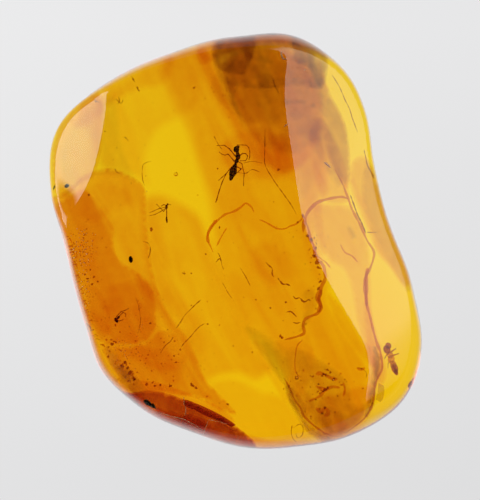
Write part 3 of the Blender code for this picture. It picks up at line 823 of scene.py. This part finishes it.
def crumbs(name, spots, finish, depth=1.1, rough=0.45, seed=3):
    """Small uneven lumps so deep under the top. Each spot has a place and a width, and may
    have a length and a heading."""
    chance = random.Random(seed)
    bm = bmesh.new()
    for x, y, width, *rest in spots:
        length, heading = rest or (width * chance.uniform(1.0, 1.7), chance.uniform(0, 180))
        middle = seen(x, y, depth)
        turn = Matrix.Rotation(math.radians(heading), 3, "Z")
        made = bmesh.ops.create_icosphere(bm, subdivisions=2, radius=0.5)["verts"]
        offset = Vector([chance.uniform(-50, 50) for _ in range(3)])
        for vertex in made:
            lump = 1 + rough * 2 * noise.noise(vertex.co * 3.0 + offset)
            shape = Vector((vertex.co.x * length, vertex.co.y * width, vertex.co.z * width * 0.7))
            vertex.co = (middle + turn @ shape * lump) * MM
    put(name, bm, finish)


BARK_CRUMBS = (
    # x, y, width
    (-16.0, 5.0, 0.19), (4.9, 7.8, 0.25), (-9.1, 1.2, 0.27), (-4.7, -3.6, 0.15), (-2.9, -9.2, 0.15),
    (-9.2, -9.1, 0.22), (-4.5, -16.0, 0.22), (-0.7, -18.0, 0.18), (-1.6, 1.4, 0.16), (-15.9, 5.0, 0.12),
    (-10.6, 16.8, 0.14), (-11.1, 17.7, 0.18), (-4.4, 16.8, 0.18), (-13.4, -11.4, 0.35),
    (-13.0, -11.2, 0.2), (-13.8, -11.7, 0.2), (-13.2, -11.1, 0.16), (-12.0, -13.4, 0.35),
    (-11.4, -14.5, 0.39), (-12.3, -13.8, 0.28), (-11.0, -15.2, 0.32), (-11.7, -14.0, 0.28),
    (-9.6, -15.8, 0.24), (-8.7, -16.0, 0.21), (-8.1, -15.9, 0.21), (-7.0, -16.0, 0.25),
    (-15.8, -3.2, 0.18), (-15.4, -4.0, 0.21), (-16.1, -4.2, 0.2), (-15.0, -4.5, 0.16),
    (-15.6, -4.8, 0.2), (-16.4, -3.7, 0.15), (-4.7, -15.8, 0.22), (-4.2, -16.2, 0.25), (8.5, 0.1, 0.26),
    (8.8, -1.7, 0.3), (9.1, -2.4, 0.34), (9.3, -3.0, 0.22), (9.5, -4.5, 0.22), (9.3, -5.3, 0.26),
    (9.0, -0.8, 0.25), (8.1, 0.5, 0.25), (9.9, -14.7, 0.22), (10.3, -16.2, 0.25), (9.3, -15.8, 0.17),
    (10.0, -18.4, 0.22), (9.0, -17.5, 0.17), (11.0, -15.2, 0.17), (14.0, -14.1, 0.12), (5.7, -6.8, 0.2),
    (5.3, -10.7, 0.26), (5.1, -10.5, 0.25), (-1.8, 7.9, 0.15), (7.0, 2.0, 0.2), (7.6, 2.7, 0.25),
    (10.6, -14.5, 0.19), (11.4, -17.1, 0.17), (8.4, -14.9, 0.14), (6.9, -14.5, 0.12), (9.7, -19.0, 0.17),
    (11.1, -18.9, 0.17), (12.2, -15.3, 0.14), (-0.1, -11.6, 0.12), (2.4, -6.5, 0.12), (2.0, -12.3, 0.12),
    (-6.4, -13.4, 0.15), (-5.9, -12.0, 0.2), (-7.7, -11.2, 0.15), (-7.3, -9.8, 0.14),
    (-6.6, -12.7, 0.18), (4.0, -7.4, 0.14), (-3.1, -1.5, 0.14), (-13.3, 8.9, 0.1), (-12.9, 10.2, 0.1),
    (-14.2, 12.0, 0.12), (-9.8, 10.5, 0.1), (-11.9, 11.3, 0.12), (-15.2, 15.3, 0.16), (9.8, -14.7, 0.2),
    (10.1, -14.8, 0.18), (9.7, -14.9, 0.18), (10.0, -16.4, 0.28), (9.8, -16.6, 0.2), (10.2, -16.4, 0.16),
)
bark_crumb = stain("bark_crumb", "#D09C60", "#A05A20", 0.08)
crumbs("bark_crumbs", BARK_CRUMBS, bark_crumb)
MOSS_SPECKS = (
    (-9.5, -17.9, 0.5, 0.95, -40), (-18.4, 6.0, 0.42, 0.6, 10), (-19.8, 5.8, 0.2, 0.5, 70),
    (-9.0, -18.2, 0.4, 0.8, -25),
)
moss_green = stain("moss_green", "#6A8A74", "#2C4C42", 0.6)
crumbs("moss_specks", MOSS_SPECKS, moss_green, 0.25, 0.3, 7)


def scattered(seed, patches):
    """Specks strewn about some places. Each patch has a count, a place, how far it spreads
    along x and y, and the least and greatest width."""
    chance = random.Random(seed)
    return [
        (chance.gauss(x, spread_x), chance.gauss(y, spread_y), chance.uniform(least, most))
        for count, x, y, spread_x, spread_y, least, most in patches
        for _ in range(count)
    ]


PITS = (
    # count, x, y, spreads, widths
    (90, -16.7, -0.7, 0.8, 1.3, 0.04, 0.12),
    (50, -15.8, -5.4, 0.5, 2.4, 0.04, 0.1),
    (30, -14.5, -8.7, 0.5, 2.0, 0.04, 0.1),
    (45, -0.1, 17.1, 0.9, 2.2, 0.05, 0.12),
    (30, 0.1, 19.4, 1.1, 0.8, 0.05, 0.12),
    (40, -12.8, -12.6, 1.8, 1.6, 0.05, 0.22),
    (40, -9.8, -14.8, 2.6, 1.4, 0.05, 0.2),
    (40, -7.6, -11.5, 3.0, 2.4, 0.04, 0.14),
    (50, 10.1, -16.2, 2.4, 1.8, 0.05, 0.2),
    (40, 8.9, -2.7, 0.8, 3.0, 0.05, 0.16),
    (70, -3.7, 0.1, 8.0, 9.0, 0.03, 0.08),
    (40, 4.0, -6.5, 4.0, 6.0, 0.03, 0.1),
)
dust_speck = stain("dust_speck", "#E2B878", "#C07428", 0.04)
crumbs("dust_specks", scattered(11, PITS), dust_speck, 1.2, 0.3, 5)

# ---- the bubbles ----
# Air that the resin closed over: round holes, bright in the middle and dark at the edge,
# where the light can't get out of the resin.

BUBBLES = (
    # x, y, width
    (-6.4, 7.3, 0.5), (-9.6, 5.4, 0.16), (-4.0, 5.0, 0.18), (-11.3, 6.3, 0.14), (-9.7, 7.1, 0.12),
    (-12.5, 3.9, 0.1), (10.9, -15.3, 0.3), (6.9, -15.1, 0.45), (-3.2, -13.1, 0.1), (-7.8, -6.5, 0.12),
    (7.8, 18.8, 0.16), (7.8, 21.8, 0.14),
)
FROTH = (
    # count, x, y, spreads, widths
    (70, -16.9, -1.0, 0.8, 1.4, 0.07, 0.2),
    (70, -16.5, -5.7, 0.5, 2.8, 0.06, 0.16),
    (40, -10.3, -9.8, 0.3, 2.2, 0.06, 0.16),
    (30, -12.0, -12.0, 0.8, 1.0, 0.06, 0.18),
)
gas_edge, tree = new_material("gas_edge")
glass = {"Color": (1.0, 1.0, 1.0, 1.0), "Roughness": 0.02, "IOR": AMBER_INDEX}
edge = add_node(tree, "BsdfGlass", glass)
add_node(tree, "OutputMaterial", {"Surface": edge.outputs[0]})
bm = bmesh.new()
for x, y, width in (*BUBBLES, *scattered(17, FROTH)):
    middle = seen(x, y, 0.9)
    made = bmesh.ops.create_icosphere(bm, subdivisions=2, radius=width / 2)["verts"]
    for vertex in made:
        vertex.co = (vertex.co + middle) * MM
bmesh.ops.reverse_faces(bm, faces=bm.faces[:])
put("bubbles", bm, gas_edge)

# ---- the ant ----
# The whole animal, sealed as it died. Its shell is dark, glossy and ringed on the abdomen,
# and so thin at the legs and feelers that the light comes through red-brown.

ANT_AT = (0.37, 8.2)
ANT_BODY = (
    (0.08, 1.66, 0.05, 0.36, 0.30, 0.27, 80),  # head
    (0.30, 1.92, 0.02, 0.16, 0.12, 0.12, 60),  # jaws
    (0.22, 1.22, 0.02, 0.26, 0.15, 0.16, 95),  # neck
    (0.28, 0.84, 0.05, 0.38, 0.25, 0.25, 95),  # fore trunk
    (0.14, 0.34, 0.03, 0.32, 0.19, 0.20, 70),  # hind trunk
    (0.01, -0.02, 0.04, 0.17, 0.11, 0.15, 75),  # waist
    (-0.09, -0.42, 0.02, 0.42, 0.24, 0.26, 75),  # first ring of the abdomen
    (-0.21, -0.86, 0.02, 0.62, 0.38, 0.36, 75),  # abdomen
    (-0.34, -1.34, 0.00, 0.46, 0.21, 0.22, 75),  # its pointed end
)
ANT_LIMBS = (
    # right feeler
    ((0.10, 1.90, 0.1, 0.05), (0.16, 2.15, 0.15, 0.05), (0.87, 2.14, 0.2, 0.05),
     (1.20, 2.12, 0.2, 0.05), (1.50, 1.85, 0.2, 0.05), (1.64, 1.36, 0.15, 0.05),
     (1.62, 0.80, 0.1, 0.055), (1.54, 0.46, 0.1, 0.05)),
    # fore left leg
    ((0.20, 0.80, 0.0, 0.07), (-0.03, 0.91, 0.05, 0.08), (-0.68, 1.70, 0.1, 0.07),
     (-1.27, 2.12, 0.1, 0.05), (-2.11, 2.09, 0.0, 0.04)),
    # middle left leg
    ((0.15, 0.30, 0.0, 0.07), (-0.14, 0.35, -0.05, 0.08), (-0.85, 1.15, -0.1, 0.06),
     (-1.16, 1.02, -0.1, 0.05), (-1.50, 1.13, -0.1, 0.045), (-1.83, 1.40, -0.05, 0.04)),
    # fore right leg, folded round on itself
    ((0.30, 0.90, 0.0, 0.07), (0.53, 0.97, 0.05, 0.08), (0.81, 1.17, 0.1, 0.075),
     (1.14, 1.17, 0.1, 0.065), (1.38, 0.91, 0.1, 0.06), (1.31, 0.57, 0.1, 0.055),
     (1.14, 0.35, 0.05, 0.05), (0.52, 0.35, 0.0, 0.05)),
    # hind right leg
    ((0.12, 0.18, 0.0, 0.07), (0.16, -0.30, 0.05, 0.08), (0.69, -0.55, 0.15, 0.075),
     (0.35, -0.86, 0.1, 0.055), (0.06, -1.15, 0.05, 0.05)),
    # hind left leg and its long shin
    ((0.06, 0.18, 0.0, 0.07), (-0.55, -0.50, 0.1, 0.07), (-0.95, -1.00, 0.1, 0.06),
     (-1.44, -1.44, 0.05, 0.05), (-1.77, -1.73, 0.0, 0.04)),
    ((-0.95, -1.00, 0.1, 0.06), (-1.38, -2.00, 0.05, 0.06), (-1.66, -2.90, 0.0, 0.065),
     (-1.95, -3.85, -0.05, 0.075), (-2.06, -4.14, -0.1, 0.06)),
    # middle right leg, hanging behind
    ((0.20, 0.30, -0.05, 0.06), (0.75, 0.05, -0.15, 0.055), (0.90, -0.60, -0.2, 0.05),
     (1.02, -1.00, -0.2, 0.055), (0.98, -2.40, -0.2, 0.04)),
)  # fmt: skip
ANT_RINGS = {7: 5}


def shell(name, dark, light, through, body_cover, limb_cover, own=0.0):
    """Insect shell: dark and light are its colours at tone 0 and 1, and through is the light
    that passes it, of which limbs let more through than bodies. Own is how much of the shell's
    own colour that light takes."""
    made, tree = new_material(name)
    tone = add_node(tree, "Attribute", attribute_name="tone")
    thin = add_node(tree, "Attribute", attribute_name="thin")
    place = add_node(tree, "TexCoord")
    pattern = {"Vector": place.outputs["Object"], "Scale": 6.0 / MM, "Detail": 3.0}
    bumps = add_node(tree, "TexNoise", pattern)
    swing = {"From Min": 0.3, "From Max": 0.7, "To Min": -0.22, "To Max": 0.22}
    uneven = add_node(tree, "MapRange", {"Value": bumps.outputs[0], **swing})
    mixed = add_node(tree, "Math", {0: tone.outputs["Fac"], 1: uneven.outputs[0]}, use_clamp=True)
    shades = {"Factor": mixed.outputs[0], "A": linear(dark), "B": linear(light)}
    colour = add_node(tree, "Mix", shades, data_type="RGBA").outputs["Result"]
    skin = add_node(tree, "BsdfPrincipled", {"Base Color": colour, "Roughness": 0.35, "IOR": 1.56})
    glow = add_node(tree, "BsdfTranslucent", {"Color": colour})
    skin = add_node(tree, "MixShader", {0: 0.5, 1: skin.outputs[0], 2: glow.outputs[0]})
    tints = {"Factor": own, "A": linear(through), "B": colour}
    passed = add_node(tree, "Mix", tints, data_type="RGBA")
    clear = add_node(tree, "BsdfTransparent", {"Color": passed.outputs["Result"]})
    covers = {"Value": thin.outputs["Fac"], "To Min": body_cover, "To Max": limb_cover}
    cover = add_node(tree, "MapRange", covers)
    both = add_node(tree, "MixShader", {0: cover.outputs[0], 1: clear.outputs[0], 2: skin.outputs[0]})
    add_node(tree, "OutputMaterial", {"Surface": both.outputs[0]})
    return made


LIMB_SIDES = 8
LIMB_STEPS = 6


def limb(bm, origin, joints, tone):
    """A leg or feeler: a closed tube through its joints, swollen a little at each."""
    tones, thins = bm.verts.layers.float["tone"], bm.verts.layers.float["thin"]
    rings = []
    for k, (*place, radius) in enumerate(joints):
        here = Vector(place)
        before = Vector(joints[max(k - 1, 0)][:3])
        *next_place, next_radius = joints[min(k + 1, len(joints) - 1)]
        after = Vector(next_place)
        for step in range(LIMB_STEPS if k + 1 < len(joints) else 1):
            share = step / LIMB_STEPS
            middle = here.lerp(after, share)
            along = (after - before) if step == 0 else (after - here)
            swell = 1 + 0.22 * math.cos(math.tau * share)
            reach = (radius + (next_radius - radius) * share) * swell * 0.82
            side = along.cross(Vector((0, 0, 1))).normalized()
            lift = side.cross(along).normalized()
            ring = []
            for corner in range(LIMB_SIDES):
                turn = math.tau * corner / LIMB_SIDES
                offset = side * math.cos(turn) + lift * math.sin(turn)
                vertex = bm.verts.new((origin + middle + offset * reach) * MM)
                vertex[tones], vertex[thins] = tone, 1.0
                ring.append(vertex)
            rings.append(ring)
    for first, second in zip(rings, rings[1:]):
        for k in range(LIMB_SIDES):
            after = (k + 1) % LIMB_SIDES
            bm.faces.new((first[k], second[k], second[after], first[after]))
    bm.faces.new(rings[0])
    bm.faces.new(rings[-1][::-1])


def ball(bm, middle, halves, heading, tone, rings):
    """A rounded body section, longest along its heading, with rings pressed into it."""
    tones, thins = bm.verts.layers.float["tone"], bm.verts.layers.float["thin"]
    turn = Matrix.Rotation(math.radians(heading), 3, "Z")
    lay = Matrix.Rotation(math.radians(90), 3, "Y")
    for vertex in bmesh.ops.create_uvsphere(bm, u_segments=24, v_segments=24, radius=1.0)["verts"]:
        spot = lay @ vertex.co
        pinch = 1 - 0.07 * abs(math.cos(math.pi * rings * (spot.x + 1) / 2)) ** 12 if rings else 1.0
        shape = Vector((spot.x * halves[0], spot.y * halves[1] * pinch, spot.z * halves[2] * pinch))
        vertex.co = (middle + turn @ shape) * MM
        vertex[tones] = tone - (0.25 if pinch < 0.96 else 0.0)
        vertex[thins] = 0.0


def insect(name, node, at, balls, limbs, finish, tones, rings=None, limb_tone=0.5, plump=0.02):
    """An insect, in place of its CAD node. Plump is how much longer and wider its body sections are made.
    """
    bm = bmesh.new()
    bm.verts.layers.float.new("tone")
    bm.verts.layers.float.new("thin")
    origin = Vector((*at, RIM_HEIGHT))
    for number, (x, y, z, length, width, height, heading) in enumerate(balls):
        halves = (length + plump / 2, width + plump, height)
        tone = tones[number % len(tones)]
        ball(bm, origin + Vector((x, y, z)), halves, heading, tone, (rings or {}).get(number, 0))
    for joints in limbs:
        limb(bm, origin, joints, limb_tone)
    made = put(name, bm, finish)
    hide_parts(node)


ant_shell = shell("ant_shell", "#66725E", "#A8B498", "#C8A058", 0.88, 0.12)
insect(
    "ant_animal", "ant", ANT_AT, ANT_BODY, ANT_LIMBS, ant_shell,
    (0.35, 0.2, 0.3, 0.4, 0.3), ANT_RINGS, 0.1, 0.035,
)

# ---- the midge ----
# A mosquito-like fly, bleached brown. Its legs are drawn out to one side, as resin flowed
# over it.

MIDGE_AT = (-7.22, 3.55)
MIDGE_BODY = (
    (0.12, 0.32, 0.02, 0.12, 0.11, 0.11, 90),  # head
    (0.00, 0.04, 0.05, 0.24, 0.14, 0.16, 95),  # trunk
    (0.06, -1.38, 0.00, 0.36, 0.10, 0.10, 98),  # end of the abdomen
)
MIDGE_LIMBS = (
    # abdomen
    ((0.01, -0.08, 0.03, 0.08), (0.04, -0.60, 0.0, 0.06), (0.05, -1.20, 0.0, 0.08)),
    # fore leg
    ((0.02, 0.18, 0.0, 0.05), (-0.30, 0.30, 0.1, 0.06), (-0.57, 0.12, 0.1, 0.05)),
    # middle leg
    ((0.00, -0.05, 0.0, 0.045), (-0.29, -0.45, 0.1, 0.045), (-0.64, -0.10, 0.1, 0.04),
     (-1.08, 0.35, 0.05, 0.035)),
    # two hind legs
    ((0.00, 0.05, 0.0, 0.045), (-0.83, -0.15, -0.05, 0.04), (-1.46, -0.42, -0.1, 0.035),
     (-1.80, -0.54, -0.1, 0.03)),
    ((0.00, -0.05, 0.0, 0.045), (-0.64, -0.46, -0.1, 0.04), (-1.27, -0.78, -0.1, 0.035),
     (-1.77, -0.86, -0.1, 0.03)),
    # feeler
    ((0.14, 0.36, 0.02, 0.035), (0.50, 0.27, 0.05, 0.03)),
)  # fmt: skip
MIDGE_RINGS = {2: 4}
midge_shell = shell("midge_shell", "#5A3818", "#A87840", "#C49A5C", 0.35, 0.06)
insect(
    "midge_animal", "midge", MIDGE_AT, MIDGE_BODY, MIDGE_LIMBS, midge_shell,
    (0.4, 0.5, 0.1), MIDGE_RINGS, 0.5, 0.0,
)

# ---- the barklouse ----
# A soft-bodied insect, so its shell is pale, pink-brown and a little see-through, with a
# harder red-brown head and a dark tip to the abdomen.

BARKLOUSE_AT = (15.17, -12.8)
BARKLOUSE_BODY = (
    (-0.41, 0.75, 0.00, 0.32, 0.33, 0.30, 112),  # head
    (-0.21, 1.10, -0.05, 0.22, 0.27, 0.20, 112),  # face
    (-0.05, 0.26, 0.05, 0.28, 0.31, 0.28, 106),  # fore trunk
    (0.05, -0.13, 0.05, 0.37, 0.37, 0.32, 106),  # hind trunk
    (0.31, -0.70, 0.02, 0.40, 0.31, 0.30, 114),  # abdomen
    (0.48, -1.07, 0.00, 0.49, 0.33, 0.30, 114),
    (0.63, -1.42, 0.00, 0.33, 0.17, 0.16, 114),  # its pointed end
)
BARKLOUSE_LIMBS = (
    ((-0.05, 0.53, 0.0, 0.09), (0.19, 0.68, 0.1, 0.09), (0.67, 0.93, 0.1, 0.06)),
    ((0.10, 0.18, 0.0, 0.09), (0.42, 0.28, 0.1, 0.09), (1.00, 0.44, 0.1, 0.06)),
    ((-0.21, 0.44, 0.0, 0.07), (-0.48, 0.29, 0.1, 0.07), (-0.72, -0.06, 0.1, 0.05)),
    ((0.00, -0.26, 0.0, 0.07), (-0.31, -0.55, 0.1, 0.05), (-0.32, -1.02, 0.05, 0.04)),
)
BARKLOUSE_RINGS = {4: 3, 5: 5}
barklouse_shell = shell("barklouse_shell", "#B86438", "#FFECD0", "#F2D4AC", 0.2, 0.14, 0.55)
insect(
    "barklouse_animal", "barklouse", BARKLOUSE_AT, BARKLOUSE_BODY, BARKLOUSE_LIMBS, barklouse_shell,
    (0.2, 0.35, 0.95, 1.0, 0.85, 0.5, 0.1), BARKLOUSE_RINGS, 0.5, 0.07,
)

# ---- the gnat ----
# A tiny fly, bent over, with a dark red-brown trunk and its legs folded beside it.

GNAT_AT = (-12.5, -8.8)
GNAT_BODY = (
    (0.00, 0.00, 0.00, 0.30, 0.17, 0.16, 125),  # trunk, bent over
    (0.22, 0.30, 0.00, 0.20, 0.12, 0.12, 45),  # abdomen
)
GNAT_LIMBS = (
    ((-0.10, 0.15, 0.0, 0.05), (0.05, 0.45, 0.05, 0.05), (0.50, 0.93, 0.1, 0.05),
     (0.95, 1.05, 0.1, 0.045), (1.30, 1.25, 0.05, 0.035)),
    ((0.20, 0.35, 0.0, 0.055), (0.72, 0.84, -0.05, 0.05), (1.02, 0.66, -0.1, 0.045),
     (1.02, 0.34, -0.1, 0.045)),
    ((0.10, -0.10, 0.0, 0.055), (0.42, -0.06, -0.05, 0.05), (0.78, 0.06, -0.1, 0.04)),
)  # fmt: skip
gnat_shell = shell("gnat_shell", "#6E1E10", "#9A4A20", "#C07A48", 0.5, 0.1)
insect("gnat_animal", "gnat", GNAT_AT, GNAT_BODY, GNAT_LIMBS, gnat_shell, (0.0, 0.5))

# ---- the pellet ----
# A dropping of an insect, pressed from fine black-brown frass.

PELLET_AT = (-11.12, -2.13)
PELLET_BODY = ((0.0, 0.0, 0.0, 0.38, 0.22, 0.24, 96),)
frass = shell("frass", "#140A06", "#2E1A0E", "#30140A", 0.97, 0.97)
insect("frass_pellet", "pellet", PELLET_AT, PELLET_BODY, (), frass, (0.3,))

# ---- the table, the light and the camera ----
# A white sheet lit from below, with dark room overhead and soft boxes at the sides.

TABLE_GAP = 0.3
TABLE_WIDTH = 3000.0


def glowing_table():
    """White sheet over a light panel, with no shadows. The panel is a little dimmer to the
    near and the right side, and the stone's outer faces mirror it as dimmer further out."""
    made, tree = new_material("glowing_table")
    place = add_node(tree, "TexCoord")
    spot = add_node(tree, "SeparateXYZ", {0: place.outputs["Object"]})
    away = add_node(tree, "VectorMath", {0: place.outputs["Object"]}, operation="LENGTH")
    along, across, under, near, far = (
        add_node(
            tree,
            "MapRange",
            {"Value": value, "From Min": start * MM, "From Max": end * MM, "To Min": low, "To Max": high},
        ).outputs[0]
        for value, start, end, low, high in (
            (spot.outputs["Y"], -27, 24, 0.758, 0.825),
            (spot.outputs["X"], -25, 27, 1.012, 0.975),
            (spot.outputs["Y"], -24, 24, 1.02, 0.93),
            (spot.outputs["Y"], -27, -12, 0.8, 1.0),
            (away.outputs["Value"], 25, 42, 0.95, 0.25),
        )
    )
    even = add_node(tree, "Math", {0: along, 1: across}, operation="MULTIPLY")
    faint = add_node(tree, "Math", {0: far, 1: near}, operation="MULTIPLY")
    path = add_node(tree, "LightPath").outputs
    choice = {"Factor": path["Is Camera Ray"], "A": under, "B": even.outputs[0]}
    glow = add_node(tree, "Mix", choice, data_type="FLOAT")
    outside = add_node(tree, "Math", {0: path["Transmission Depth"], 1: 0.5}, operation="LESS_THAN")
    mirror = add_node(tree, "Math", {0: outside.outputs[0], 1: path["Is Glossy Ray"]}, operation="MULTIPLY")
    choice = {"Factor": mirror.outputs[0], "A": glow.outputs[0], "B": faint.outputs[0]}
    mirrored = add_node(tree, "Mix", choice, data_type="FLOAT")
    lit = {"Color": linear("#FEFEFF"), "Strength": mirrored.outputs[0]}
    add_node(tree, "OutputMaterial", {"Surface": add_node(tree, "Emission", lit).outputs[0]})
    return made


bm = bmesh.new()
bmesh.ops.create_grid(bm, x_segments=1, y_segments=1, size=TABLE_WIDTH / 2 * MM)
mesh = bpy.data.meshes.new("table")
bm.to_mesh(mesh)
bm.free()
mesh.materials.append(glowing_table())
table = bpy.data.objects.new("table", mesh)
bpy.context.scene.collection.objects.link(table)
table.location.z = -TABLE_GAP * MM

world = bpy.data.worlds.new("room")
world.use_nodes = True
bpy.context.scene.world = world
tree = world.node_tree
tree.nodes.clear()
way = add_node(tree, "TexCoord")
height = add_node(tree, "SeparateXYZ", {0: way.outputs["Generated"]})
fall = {"From Min": 0.0, "From Max": 0.2, "To Min": 0.35, "To Max": 0.015}
shade = add_node(tree, "MapRange", {"Value": height.outputs["Z"], **fall})
sky = add_node(tree, "Background", {"Color": (1.0, 1.0, 1.0, 1.0), "Strength": shade.outputs[0]})
add_node(tree, "OutputWorld", {"Surface": sky.outputs[0]})


def soft_box(name, azimuth, tilt, distance, width, height, radiance, fade):
    """A rectangular lamp that looks at the stone, so bright that a mirror would show it as radiance.
    Fade is where its light starts, is full, starts to go and is out, from 0 to 1 along it."""
    lamp = bpy.data.lights.new(name, "AREA")
    lamp.shape = "RECTANGLE"
    lamp.size, lamp.size_y = width * MM, height * MM
    lamp.energy = radiance * math.pi * width * height * MM * MM
    lamp.use_nodes = True
    tree = lamp.node_tree
    tree.nodes.clear()
    across = add_node(tree, "NewGeometry")
    spot = add_node(tree, "SeparateXYZ", {0: across.outputs["Parametric"]})
    rise, fall = (
        add_node(tree, "MapRange", {"Value": spot.outputs["X"], "From Min": out, "From Max": full})
        for out, full in (fade[:2], fade[:1:-1])
    )
    rise.interpolation_type = fall.interpolation_type = "SMOOTHSTEP"
    share = add_node(tree, "Math", {0: rise.outputs[0], 1: fall.outputs[0]}, operation="MULTIPLY")
    glow = add_node(tree, "Emission", {"Strength": share.outputs[0]})
    add_node(tree, "OutputLight", {"Surface": glow.outputs[0]})
    made = bpy.data.objects.new(name, lamp)
    bpy.context.scene.collection.objects.link(made)
    made.location = facing(azimuth, tilt) * distance * MM
    made.rotation_mode = "QUATERNION"
    made.rotation_quaternion = facing(azimuth, tilt).to_track_quat("Z", "Y")


soft_box("right_box", 42, 52, 500, 1260, 485, 2.25, (-0.1, 0.4, 0.6, 0.85))
soft_box("left_box", 164, 66, 500, 210, 330, 3.6, (-0.02, 0.15, 0.85, 1.02))

FRAME_HEIGHT_PX = 500
MM_PER_PX = 0.11
camera_data = bpy.data.cameras.new("camera")
camera_data.sensor_width = 36.0
camera_data.lens = camera_data.sensor_width * CAMERA_HEIGHT / (FRAME_HEIGHT_PX * MM_PER_PX)
camera_data.clip_start, camera_data.clip_end = 0.01, 20.0
camera = bpy.data.objects.new("camera", camera_data)
bpy.context.scene.collection.objects.link(camera)
camera.location = [value * MM for value in (*FRAME_MIDDLE, RIM_HEIGHT + CAMERA_HEIGHT)]
bpy.context.scene.camera = camera

scene = bpy.context.scene
scene.view_settings.view_transform = "Standard"
scene.cycles.max_bounces = 32
scene.cycles.transmission_bounces = 32
scene.cycles.glossy_bounces = 16
scene.cycles.transparent_max_bounces = 64
